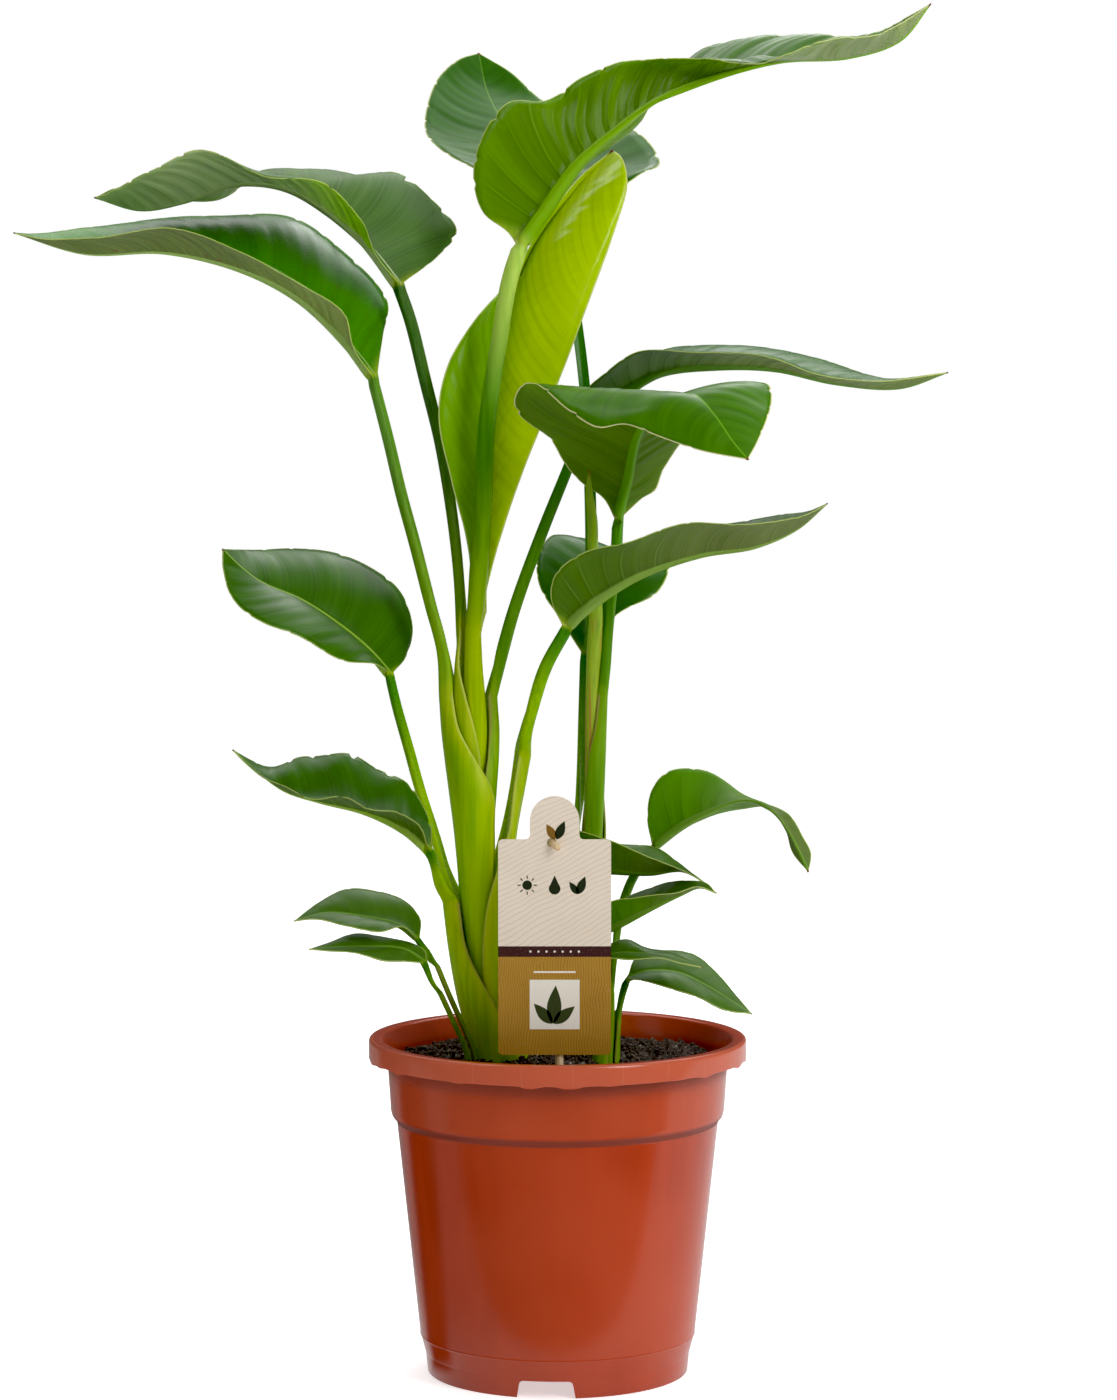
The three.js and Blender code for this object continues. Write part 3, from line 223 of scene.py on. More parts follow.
# Pot. A nursery pot of thin red-brown plastic, drawn from a sheet: a lip folded down all round, a collar
# that stops the pots from jamming in a stack, a tapered body and a foot ring with three wide notches.
# Its floor has six drain holes. Sizes are in millimetres from here on, and are set down in metres.
MILLIMETRE = 0.001
MOUTH_RADIUS, FOOT_RADIUS, LIP_RADIUS, LIP_FOOT = 111, 83, 117.5, 201.3
POT_ROUND, SHARPEST = 192, math.radians(38)
GATES_APART = 15
NOTCH = [(-18.5, -1), (18.5, -1), (17, 8), (16.4, 10), (15, 10.8), (13.5, 11)]
DRAINS, DRAINS_OUT, DRAIN_RADIUS, DRAIN_ROUND = 6, 60, 6, 24
POT_PROFILE = [
    (0, 11.5, 0), (78.3, 11.5, 0.5), (79.3, 0, 0.6), (83, 0, 0.7), (84.2, 12.2, 1), (84.6, 13.4, 1),
    (87.3, 23.6, 0.3), (87.9, 24.2, 0.3), (87.7, 25.0, 0.3), (102.2, 160.6, 1.2), (103.4, 162.8, 1.4),
    (105.3, 164.6, 1.6), (106, 167.5, 2), (108.3, 200.6, 0.8), (112.2, 210, 1.5), (117.6, 211, 0.8),
    (118.2, 201.3, 0.3), (120, 201.3, 0.5), (120, 214, 2.2), (111.4, 214, 2.2), (107.2, 204, 3),
    (106.5, 201, 2), (104.1, 167.4, 2), (100.5, 161, 2), (85.6, 25, 2), (83, 13.5, 1.5), (0, 13.5, 0),
]


def link(name, points, faces, material, smooth=True):
    """A mesh object from points in millimetres about the pot's axis."""
    mesh = bpy.data.meshes.new(name)
    mesh.from_pydata((np.asarray(points) * MILLIMETRE + (POT_X, POT_Y, 0)).tolist(), [], faces)
    mesh.polygons.foreach_set("use_smooth", [smooth] * len(faces))
    mesh.materials.append(material)
    made = bpy.data.objects.new(name, mesh)
    bpy.context.scene.collection.objects.link(made)
    return made


def belongs(piece, slot, *nodes):
    """Every piece rides on the one rigid body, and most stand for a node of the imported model."""
    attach(piece, "root")
    if nodes:
        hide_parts(*nodes)
    return piece


def rounded(profile, steps=4):
    """A profile line whose corners are rounded, each with its own radius."""
    line = []
    for k, (r, z, radius) in enumerate(profile):
        here = np.array([r, z], float)
        if k in (0, len(profile) - 1) or radius == 0:
            line.append(here)
            continue
        back = np.array(profile[k - 1][:2], float) - here
        on = np.array(profile[k + 1][:2], float) - here
        reach = min(radius, 0.45 * np.linalg.norm(back), 0.45 * np.linalg.norm(on))
        start, end = here + back / np.linalg.norm(back) * reach, here + on / np.linalg.norm(on) * reach
        for t in np.linspace(0, 1, steps):
            line.append(start * (1 - t) ** 2 + here * 2 * t * (1 - t) + end * t * t)
    return np.array(line)


def tube(rings, first, last):
    """Points and faces of a closed tube: rings of points, and a point that closes each end."""
    points, count = np.vstack([*rings, [first], [last]]), len(rings[0])
    faces = []
    for k in range(count):
        n = (k + 1) % count
        for row in range(len(rings) - 1):
            a = row * count
            faces.append((a + k, a + n, a + count + n, a + count + k))
        end = (len(rings) - 1) * count
        faces += [(len(points) - 2, n, k), (len(points) - 1, end + k, end + n)]
    return points, faces


def turned(line, count):
    """A line turned round the pot's axis. Its two ends lie on the axis."""
    turns = np.arange(count) * 2 * math.pi / count
    rings = [[(r * math.cos(a), r * math.sin(a), z) for a in turns] for r, z in line[1:-1]]
    return tube(rings, (0, 0, line[0][1]), (0, 0, line[-1][1]))


def cutter(outlines):
    """A closed tool between two outlines, one after the other, of the same number of points."""
    n = len(outlines) // 2
    walls = [tuple(range(n))[::-1], tuple(range(n, 2 * n))]
    walls += [(i, (i + 1) % n, n + (i + 1) % n, n + i) for i in range(n)]
    tool = link("cutter", outlines, walls, plastic)
    work = bmesh.new()
    work.from_mesh(tool.data)
    bmesh.ops.recalc_face_normals(work, faces=work.faces)
    work.to_mesh(tool.data)
    work.free()
    return tool


def cut_away(piece, tools):
    """Cuts the tools out of a piece and takes them away."""
    for tool in tools:
        cut = piece.modifiers.new("cut", "BOOLEAN")
        cut.operation, cut.solver, cut.object = "DIFFERENCE", "EXACT", tool
    result = bpy.data.meshes.new_from_object(piece.evaluated_get(bpy.context.evaluated_depsgraph_get()))
    piece.modifiers.clear()
    piece.data = result
    for tool in tools:
        bpy.data.objects.remove(tool)
    result.polygons.foreach_set("use_smooth", [True] * len(result.polygons))
    result.set_sharp_from_angle(angle=SHARPEST)


plastic, tree, shader = finish("red-brown pot plastic", IOR=1.5, Specular_IOR_Level=0.5,
                               Coat_Weight=0.1, Coat_Roughness=0.08)
place = own_place(tree)
flow = noise(stretched(place, (55, 55, 2.5)), 1.0, 4.0)
cloud = noise(place, 9.0, 2.0)
dust = noise(place, 900.0, 2.0)
base = blend(between(flow, 0.35, 0.65), "a83a1a", "b23f1e")
base = blend(between(cloud, 0.3, 0.7), base, "b84726")
base = blend(between(dust, 0.74, 0.8, 0, 0.35), base, "c98d74")
# Marks by height and by distance from the axis, in metres: pale moulding gates along the lip, the lip
# painted paler for a haze of reflected light, a paler collar, and painted shade in the step and under the lip
east, north, height = parts(place)
east, north = reckon("SUBTRACT", east, POT_X), reckon("SUBTRACT", north, POT_Y)
bearing = reckon("ADD", reckon("ARCTAN2", east, north), math.radians(4.5))
outward = reckon("SQRT", reckon("MULTIPLY_ADD", east, east, times(north, north)))
gate = reckon("PINGPONG", bearing, math.radians(GATES_APART / 2))
gate = times(between(gate, 0.0016, 0.0034, 0.2, 0), between(outward, 0.1185, 0.1195))
# Painted reflection: the folded lip made paler for the haze of light it reflects
lip_haze = times(between(outward, 0.1165, 0.1185), between(height, 0.199, 0.2013))
collar = times(between(height, 0.164, 0.168), between(height, 0.201, 0.199))
# Painted shade in the step of the collar and under the folded lip, where their shadows fall
shade_in_step = between(height, 0.1602, 0.1612, 0, between(height, 0.1640, 0.1668, 1, 0))
shade_under_lip = times(between(height, 0.188, 0.199, 0, 0.7), between(outward, 0.1165, 0.1160),
                  between(outward, 0.1070, 0.1074), between(height, 0.2014, 0.2022, 1, 0))
painted_shade = times(reckon("MAXIMUM", shade_in_step, shade_under_lip), between(outward, 0.1015, 0.1020))
base = blend(times(lip_haze, 0.45), base, "d0745a")
base = blend(times(collar, 0.2), base, "cc6a4c")
base = blend(gate, base, "d58a6c")
base = blend(times(painted_shade, 0.7), base, "6e2410")
shine = reckon("MULTIPLY_ADD", painted_shade, 0.4, between(cloud, 0.2, 0.8, 0.16, 0.22))
dress(shader, base, shine, blend(0.35, flow, dust), 0.00006)

points, faces = turned(rounded(POT_PROFILE), POT_ROUND)
bearing, outward = np.arctan2(points[:, 0], points[:, 1]), np.hypot(points[:, 0], points[:, 1])
flash = sum(np.sin(k * bearing + 1.7 * k * k) for k in (5, 9, 14, 23, 31)) - 0.4
on_lip = (outward > LIP_RADIUS) & (points[:, 2] < LIP_FOOT + 0.9)
points[:, 2] -= np.where(on_lip, np.clip(flash, 0, 2) * 0.8, 0)
pot = link("pot_drawn", points, faces, plastic)
tools = []
for k in range(3):
    a = math.radians(-5 - 90 + 120 * k)
    outline = NOTCH + [(-x, z) for x, z in NOTCH[:1:-1]]
    tools.append(cutter([(r * math.cos(a) - x * math.sin(a), r * math.sin(a) + x * math.cos(a), z)
                         for r in (FOOT_RADIUS - 15, FOOT_RADIUS + 15) for x, z in outline]))
for k in range(DRAINS):
    a = (k + 0.5) * math.tau / DRAINS
    around = [math.tau * i / DRAIN_ROUND for i in range(DRAIN_ROUND)]
    tools.append(cutter([(DRAINS_OUT * math.cos(a) + DRAIN_RADIUS * math.cos(b),
                          DRAINS_OUT * math.sin(a) + DRAIN_RADIUS * math.sin(b), z)
                         for z in (8, 17) for b in around]))
cut_away(pot, tools)
belongs(pot, "pot", "pot")

# Peat. Dark, crumbly and a little sunken along the wall, filled to about 14 mm under the rim. The ground
# of it is one body, and loose crumbs and a few pale grains lie on its surface.
SOIL_TOP, SOIL_LUMPS, SOIL_SAG = 200, 2.2, 3
SOIL_EDGE, SOIL_FOOT, SOIL_ROUND, WALL_GAP = 106.05, 13.85, 150, 0.65
INNER_WALL = [(83, 13.5), (85.6, 25), (100.5, 161), (104.1, 167.4), (104.6, 175)]


def soil_height(x, y):
    swell = np.sin(x / 23 + 0.6) * np.cos(y / 19 - 0.4) + 0.5 * np.sin((x - y) / 11)
    return SOIL_TOP + SOIL_LUMPS * swell * 0.6 - SOIL_SAG * (np.hypot(x, y) / MOUTH_RADIUS) ** 6


peat, tree, shader = finish("dark peat", Specular_IOR_Level=0.35)
place = own_place(tree)
coarse = noise(place, 260.0, 5.0, 0.7)
fine = noise(place, 1400.0, 3.0)
base = blend(between(coarse, 0.35, 0.7), "281e1a", "665248")
base = blend(between(fine, 0.62, 0.70, 0, 0.8), base, "b4aca2")
dress(shader, base, between(fine, 0.3, 0.7, 0.95, 0.6), coarse, 0.0016)

crumb_dice = random.Random(11)
ripples = [(crumb_dice.uniform(0.5, 1.6), crumb_dice.uniform(0, math.tau), crumb_dice.uniform(0, 6.3))
           for _ in range(26)]


def crumbly(x, y):
    """The uneven ground between the crumbs, in millimetres."""
    return sum(np.sin((x * math.cos(a) + y * math.sin(a)) * k + p) for k, a, p in ripples) * 0.16


around = np.arange(SOIL_ROUND) * math.tau / SOIL_ROUND
rings = [[((r - WALL_GAP) * math.cos(a), (r - WALL_GAP) * math.sin(a), z + 0.35) for a in around]
         for r, z in INNER_WALL]
for r in (np.linspace(0, 1, 60)[1:] ** 0.8 * SOIL_EDGE)[::-1]:
    x, y = r * np.cos(around), r * np.sin(around)
    z = soil_height(x, y) + crumbly(x, y) * min(1, (SOIL_EDGE - r) / 4)
    rings.append(np.stack([x, y, z], -1))
belongs(link("peat_ground", *tube(rings, (0, 0, SOIL_FOOT), (0, 0, soil_height(0, 0))), peat), "soil", "soil")


def scattered(count, dice, reach, size, flat=1.0):
    """Small rough pebbles strewn over the peat: each an icosahedron with its corners pushed about."""
    gold = (1 + 5 ** 0.5) / 2
    corners = np.array([(s, t * gold, 0) for s in (-1, 1) for t in (-1, 1)]
                       + [(0, s, t * gold) for s in (-1, 1) for t in (-1, 1)]
                       + [(s * gold, 0, t) for s in (-1, 1) for t in (-1, 1)]) / 1.9
    hull = bmesh.new()
    for corner in corners:
        hull.verts.new(corner)
    bmesh.ops.convex_hull(hull, input=hull.verts)
    hull.verts.index_update()
    sides = [tuple(v.index for v in face.verts) for face in hull.faces]
    hull.free()
    points, faces = [], []
    for _ in range(count):
        r, turn = reach * math.sqrt(dice.random()), dice.uniform(0, math.tau)
        x, y = r * math.cos(turn), r * math.sin(turn)
        scale = size * dice.uniform(0.45, 1.0) ** 2 * 1.5
        spin, tip = dice.uniform(0, math.tau), dice.uniform(-0.9, 0.9)
        shape = corners * [[dice.uniform(0.7, 1.25)] for _ in corners] * (1, dice.uniform(0.5, 1), flat)
        c, s = math.cos(tip), math.sin(tip)
        shape = shape @ np.array([[c, 0, s], [0, 1, 0], [-s, 0, c]])
        c, s = math.cos(spin), math.sin(spin)
        shape = shape @ np.array([[c, s, 0], [-s, c, 0], [0, 0, 1]]) * scale
        z = float(soil_height(x, y) + crumbly(x, y)) + scale * dice.uniform(-0.25, 0.3)
        start = len(points)
        points += (shape + (x, y, z)).tolist()
        faces += [tuple(start + i for i in side) for side in sides]
    return points, faces


crumbs = link("peat_crumbs", *scattered(4200, crumb_dice, 103.5, 1.9), peat, smooth=False)
belongs(crumbs, "soil")
pale_grain, tree, shader = finish("pale grain", Specular_IOR_Level=0.4)
tone = noise(own_place(tree), 420.0)
dress(shader, blend(tone, "6f675e", "d8d2c8"), between(tone, 0.2, 0.8, 0.5, 0.85))
grains = link("peat_pale_grains", *scattered(620, crumb_dice, 103, 0.75), pale_grain, smooth=False)
belongs(grains, "soil")

# Main shoot. Seven leaves clasp each other like the layers of a leek, the youngest in the middle. Each
# grew as one piece: a sheath, a channelled stalk and a blade of two halves folded along the midrib,
# pleated by parallel side veins. The rails below are read from base to tip, the midrib first.
BLADE = 0.8
ACROSS = 13
EVENLY = np.linspace(-1, 1, 2 * ACROSS + 1)
CROWDED = np.sin(EVENLY * math.pi / 2)[None, :]
SHEATH_GAP, SHEATH_EDGE, SHEATH_THINS = 0.5, 0.8, 120
BEARINGS, BEARING = 72, 5
VEIN_LEAN, NERVE_APART = 0.52, 10.5
FAR_INLAND = 30
LEAF_HABIT = dict(lean=0, spread=110, spread_at_top=42, opening=90, parting=70, sheath_back=2, bow_from=0,
                  pleats=0.2, wave=1.4, waves=5, fray=0.012)


def unit(v):
    return v / np.maximum(np.linalg.norm(v, axis=-1, keepdims=True), 1e-9)


def smooth(t):
    t = np.clip(t, 0, 1)
    return t * t * (3 - 2 * t)


class Rail:
    """A smooth curve through points, read by the share of its length."""

    def __init__(self, points):
        p = np.array(points, float)
        p = np.vstack([2 * p[0] - p[1], p, 2 * p[-1] - p[-2]])
        t = np.linspace(0, 1, 25)[:-1, None]
        arcs = []
        for a, b, c, d in zip(p, p[1:], p[2:], p[3:]):
            e, f, g = (math.sqrt(np.linalg.norm(y - x)) for x, y in ((a, b), (b, c), (c, d)))
            m = f * ((b - a) / e - (c - a) / (e + f) + (c - b) / f)
            n = f * ((c - b) / f - (d - b) / (f + g) + (d - c) / g)
            arcs.append(b + m * t + (3 * c - 3 * b - 2 * m - n) * t**2 + (2 * b - 2 * c + m + n) * t**3)
        self.path = np.vstack([*arcs, p[-2]])
        self.run = np.concatenate([[0], np.cumsum(np.linalg.norm(np.diff(self.path, axis=0), axis=1))])
        self.length = self.run[-1]

    def __call__(self, share):
        return np.stack([np.interp(share * self.length, self.run, self.path[:, k]) for k in range(3)], -1)

    def along(self, share, step=0.006):
        share = np.clip(share, step, 1 - step)
        return unit(self(share + step) - self(share - step))


class Shoot:
    """The axis of a shoot, the heights at which its sheaths are measured, and how far the nest
    reaches there at each of the bearings."""

    def __init__(self, axis, levels, core):
        self.axis, self.levels = np.array(axis, float), levels
        share = (np.array(levels) - levels[0]) / (levels[-1] - levels[0])
        self.core = core[0] + (core[1] - core[0]) * share
        self.reach = np.repeat(self.core[:, None], BEARINGS, axis=1)

    def centre(self, height):
        x, y = (np.interp(height, self.axis[:, 2], self.axis[:, k]) for k in (0, 1))
        return np.stack([x, y, np.broadcast_to(height, np.shape(x))], -1)


def sheath_spread(leaf, height):
    """Half the angle over which a sheath clasps the ones inside it. It opens towards its top."""
    opening = smooth(1 - np.maximum(0, leaf["top"] - height) / leaf["opening"])
    return leaf["spread"] + (leaf["spread_at_top"] - leaf["spread"]) * opening


def sheath_rings(shoot, leaf):
    """Inner and outer face of a sheath at each level of its shoot, from its left to its right margin."""
    inner, outer, heights = [], [], [z for z in shoot.levels if z <= leaf["top"]]
    for level, height in enumerate(heights):
        below = leaf["top"] - height
        spread = sheath_spread(leaf, height)
        nearby = [shoot.levels[k] if 0 <= k < len(shoot.levels) else height for k in (level - 1, level + 1)]
        swing = max(abs(sheath_spread(leaf, z) - spread) for z in nearby)
        thinning = min(1, below / SHEATH_THINS)
        back = leaf["foot"][1] + (leaf["sheath_back"] - leaf["foot"][1]) * thinning
        parting = leaf["lean"] * max(0, 1 - below / leaf["parting"]) ** 2
        heading = leaf["back"] - EVENLY * spread
        window = spread / 4 + 0.6 * swing * abs(EVENLY)
        slack = math.cos(math.radians(spread / 8)) * np.cos(np.radians(swing * abs(EVENLY) / 2))
        reach = shoot.reach[level]
        clear = []
        for turn, wide in zip(heading, window):
            bins = np.arange(math.floor((turn - wide) / BEARING), math.ceil((turn + wide) / BEARING) + 1)
            clear.append(reach[bins % BEARINGS].max())
        clear = np.convolve(np.pad(clear, 2, "edge"), [0.1, 0.2, 0.4, 0.2, 0.1], "valid") / slack + SHEATH_GAP
        inside = clear + parting * np.maximum(0, np.cos(np.radians(heading - leaf["back"])))
        outside = inside + back + (SHEATH_EDGE - back) * EVENLY**2
        spoke = np.stack([np.cos(np.radians(heading)), np.sin(np.radians(heading)), 0 * heading], -1)
        inner.append(shoot.centre(height) + spoke * inside[:, None])
        outer.append(shoot.centre(height) + spoke * outside[:, None])
        first, last = (leaf["back"] - spread) / BEARING, (leaf["back"] + spread) / BEARING
        for k in range(math.floor(first), math.ceil(last) + 1):
            here = np.interp(k * BEARING, heading[::-1], outside[::-1])
            reach[k % BEARINGS] = max(reach[k % BEARINGS], here + 0.15)
    return np.array(inner), np.array(outer), np.array(heights, float)


def refined(rings, heights, fine):
    """Rings at more heights, along smooth lines through the given ones."""
    slope = np.gradient(rings, heights, axis=0)
    k = np.clip(np.searchsorted(heights, fine, side="right") - 1, 0, len(heights) - 2)
    step = (heights[k + 1] - heights[k])[:, None, None]
    t = ((fine - heights[k])[:, None, None]) / step
    a, b, m, n = rings[k], rings[k + 1], slope[k] * step, slope[k + 1] * step
    return a + m * t + (3 * b - 3 * a - 2 * m - n) * t**2 + (2 * a - 2 * b + m + n) * t**3


def channelled(centre, aside, face, width, depth):
    """Upper and under face of a stalk: a shallow channel above and a round belly below."""
    flat = centre[:, None] + aside[:, None] * (CROWDED * width / 2)[..., None]
    channel = 0.16 * depth * (1 - CROWDED**2) ** 2
    belly = (depth - BLADE) * np.maximum(0, 1 - (CROWDED / 1.1) ** 2) ** 0.7
    upper, under = (BLADE / 2 - channel)[..., None], (BLADE / 2 + belly)[..., None]
    return flat + face[:, None] * upper, flat - face[:, None] * under


def stalk_rows(leaf, start, inward):
    """The free stalk, which turns from the way its sheath faces to the way its blade does."""
    path, right, left = Rail([start, *leaf["stalk"]]), Rail(leaf["right"]), Rail(leaf["left"])
    blade_face = unit(np.cross(right(0.1) - left(0.1), Rail(leaf["midrib"]).along(0.05)))
    s = np.linspace(0, 1, max(8, int(path.length / 4)))[1:-1, None]
    along = path.along(s[:, 0])
    face = inward + (blade_face - inward) * smooth(s)
    face = unit(face - along * (face * along).sum(-1, keepdims=True))
    (w0, d0), (w1, d1) = leaf["foot"], leaf["neck"]
    width, depth = w0 + (w1 - w0) * s, d0 + (d1 - d0) * s
    centre = path(s[:, 0]) + face * depth / 2 * (1 - s)
    upper, under = channelled(centre, np.cross(along, face), face, width, depth)
    return upper, under, s, CROWDED * width / 2, path(s[:, 0]) - start, path.length


def blade_rows(leaf):
    """The blade: rows that leave the midrib and lean towards the tip, as the side veins do."""
    left, middle, right = Rail(leaf["left"]), Rail(leaf["midrib"]), Rail(leaf["right"])
    side, share = np.sign(EVENLY), abs(EVENLY) ** 1.25
    row = (np.linspace(0, 1, int(middle.length / 1.5) + 1) ** 1.1)[:, None]
    u = np.clip(row + VEIN_LEAN * (np.sqrt(row + 0.01) - 0.1) * (1 - row) * share**1.15, 0, 1)
    onleft = (EVENLY < 0)[None, :, None]

    def to_margin(at):
        return left(at) - middle(at), right(at) - middle(at)

    # The two halves face their own ways and meet in a rounded fold. The last rows, at the tip, keep the
    # direction of those before them.
    to_left, to_right = to_margin(np.clip(u, 0, 0.985))
    along = middle.along(np.clip(u, 0.02, 0.985), 0.012)
    face_left, face_right = unit(np.cross(-to_left, along)), unit(np.cross(to_right, along))
    face_middle = unit(face_left + face_right)
    mixed = smooth(share / 0.12)[None, :, None]
    face = unit(face_middle + (np.where(onleft, face_left, face_right) - face_middle) * mixed)
    way = unit(np.where(onleft, to_left, to_right))
    width = np.linalg.norm(np.where(onleft, *to_margin(u)), axis=-1)
    frayed = sum(np.sin(k * 11 * middle.length / 100 * u + k * k + side) for k in (3, 5, 8, 13)) - 1.1
    width = np.maximum(width * (1 - leaf["fray"] * np.clip(frayed, 0, 2) * share**6), 0.7)
    off = share[None, :] * width

    # Each half bows, waves along its margin and is pleated along the side veins.
    bowing = np.sin(math.pi * np.clip((u - leaf["bow_from"]) / (1 - leaf["bow_from"]), 0, 1))
    bow = np.where(EVENLY < 0, *leaf["bow"])[None, :]
    rise = bow * bowing * 4 * share * (1 - share) * width
    rise += leaf["wave"] * np.sin(leaf["waves"] * math.pi * u) * np.sin(math.pi * u) * share**2
    run = row * middle.length
    beat = sum(size * np.cos(math.tau * run / (wide * NERVE_APART) + 0.9 * wide * side)
               for size, wide in ((1.3, 4), (0.8, 2), (0.5, 1)))
    hold = np.sin(math.pi * np.clip(share * 0.93, 0, 1)) ** 0.7 * np.sin(math.pi * u) ** 0.4
    w1, d1 = leaf["neck"]
    rib_width = w1 / 2 * (0.95 - 0.72 * u**0.6)
    rise += leaf["pleats"] * beat * hold * smooth(width / 16) * smooth((off - rib_width) / 5)

    rib = ((d1 - BLADE) * (1 - u) ** 2 + 0.5 * (1 - u)) * np.maximum(0, 1 - (off / rib_width) ** 2) ** 0.8
    groove = 0.45 * np.exp(-((off / 1.5) ** 2)) * (1 - u)
    half = BLADE / 2 * (1 - 0.45 * share**6)[None, :]
    flat = middle(u) + way * off[..., None] + face * rise[..., None]
    up = unit(np.cross(np.gradient(flat, axis=1), np.gradient(flat, axis=0)))
    up *= np.sign((up * face).sum())
    up[-1] = up[-2]
    vein = np.stack([run + 0 * off, side * off, width - off], -1)
    return flat + up * (half - groove)[..., None], flat - up * (half + rib)[..., None], vein, row


def weave(name, upper, under, vein, stage, material):
    """One closed piece from the rows of its upper and under face, left margin to right margin. For its
    finish, every point carries its place: run along the leaf, distance from the midrib and from the margin,
    stage from foot (0) through stalk (1 to 2) to tip (3), place across, and 0 above or 1 below."""
    rows, cols = upper.shape[:2]
    n = rows * cols
    grid = np.arange(n).reshape(rows, cols)
    top = np.stack([grid[:-1, :-1], grid[:-1, 1:], grid[1:, 1:], grid[1:, :-1]], -1).reshape(-1, 4)
    first, last = grid[:, 0], grid[:, -1]
    sides = [np.stack([first[:-1], first[1:], first[1:] + n, first[:-1] + n], -1),
             np.stack([last[:-1], last[:-1] + n, last[1:] + n, last[1:]], -1),
             np.stack([grid[0, :-1], grid[0, :-1] + n, grid[0, 1:] + n, grid[0, 1:]], -1),
             np.stack([grid[-1, :-1], grid[-1, 1:], grid[-1, 1:] + n, grid[-1, :-1] + n], -1)]
    faces = np.vstack([top, top[:, ::-1] + n, *sides])
    points = np.vstack([upper.reshape(-1, 3), under.reshape(-1, 3)])
    a, b, c, d = (points[faces[:, k]] for k in range(4))
    if (np.cross(b, c) * a).sum() + (np.cross(c, d) * a).sum() < 0:
        faces = faces[:, ::-1]
    piece = link(name, points, faces.tolist(), material)
    sided = np.concatenate([np.zeros(n), np.ones(n)])
    across = np.tile(np.linspace(-1, 1, cols), rows)
    marks = {
        "vein": np.tile(vein.reshape(-1, 3) * MILLIMETRE, (2, 1)),
        "place": np.stack([np.tile(np.repeat(stage, cols), 2), np.tile(across, 2), sided], -1),
    }
    for key, values in marks.items():
        mark = piece.data.attributes.new(key, "FLOAT_VECTOR", "POINT")
        mark.data.foreach_set("vector", values.astype(np.float32).ravel())
    return piece


def with_tip(habit):
    """A leaf's own values and the usual ones. Its margins end where its midrib does."""
    leaf = {**LEAF_HABIT, **habit}
    for rail in ("left", "right"):
        leaf[rail] = [*leaf[rail], leaf["midrib"][-1]]
    return leaf


def grow(shoot, name, material, slot="leaf", **habit):
    """A leaf from its sheath to its tip, as one piece that stands for its node."""
    leaf = with_tip(habit)
    inner, outer, heights = sheath_rings(shoot, leaf)
    fine = np.linspace(heights[0], heights[-1], max(8, int((heights[-1] - heights[0]) / 5)))
    inner, outer = refined(inner, heights, fine), refined(outer, heights, fine)
    start = (inner[-1, ACROSS] + outer[-1, ACROSS]) / 2
    inward = unit(inner[-1, ACROSS] - outer[-1, ACROSS])
    upper, under, s, off, free, length = stalk_rows(leaf, start, inward)
    joined = smooth(s[:, 0] * leaf["joint"])[:, None, None]
    upper = (inner[-1] + free[:, None]) * (1 - joined) + upper * joined
    under = (outer[-1] + free[:, None]) * (1 - joined) + under * joined
    blade_upper, blade_under, blade_vein, row = blade_rows(leaf)
    arc = np.linalg.norm(np.diff(outer, axis=1), axis=2).sum(axis=1)[:, None] / 2
    ones = np.ones((1, len(EVENLY)))
    sheath_vein = np.stack([fine[:, None] * ones, EVENLY * arc, (1 - abs(EVENLY)) * arc], -1)
    wide = joined[:, :, 0]
    near = (1 - abs(EVENLY)) * arc[-1] * (1 - wide) + FAR_INLAND * wide
    stalk_vein = np.stack([(fine[-1] + s * length) * ones, off * ones, near], -1)
    stage = np.concatenate([(fine - fine[0]) / (fine[-1] - fine[0]), 1 + s[:, 0], 2 + row[:, 0]])
    return belongs(weave(name + "_grown", np.vstack([inner, upper, blade_upper]),
                         np.vstack([outer, under, blade_under]),
                         np.vstack([sheath_vein, stalk_vein, blade_vein]), stage, material), slot, name)


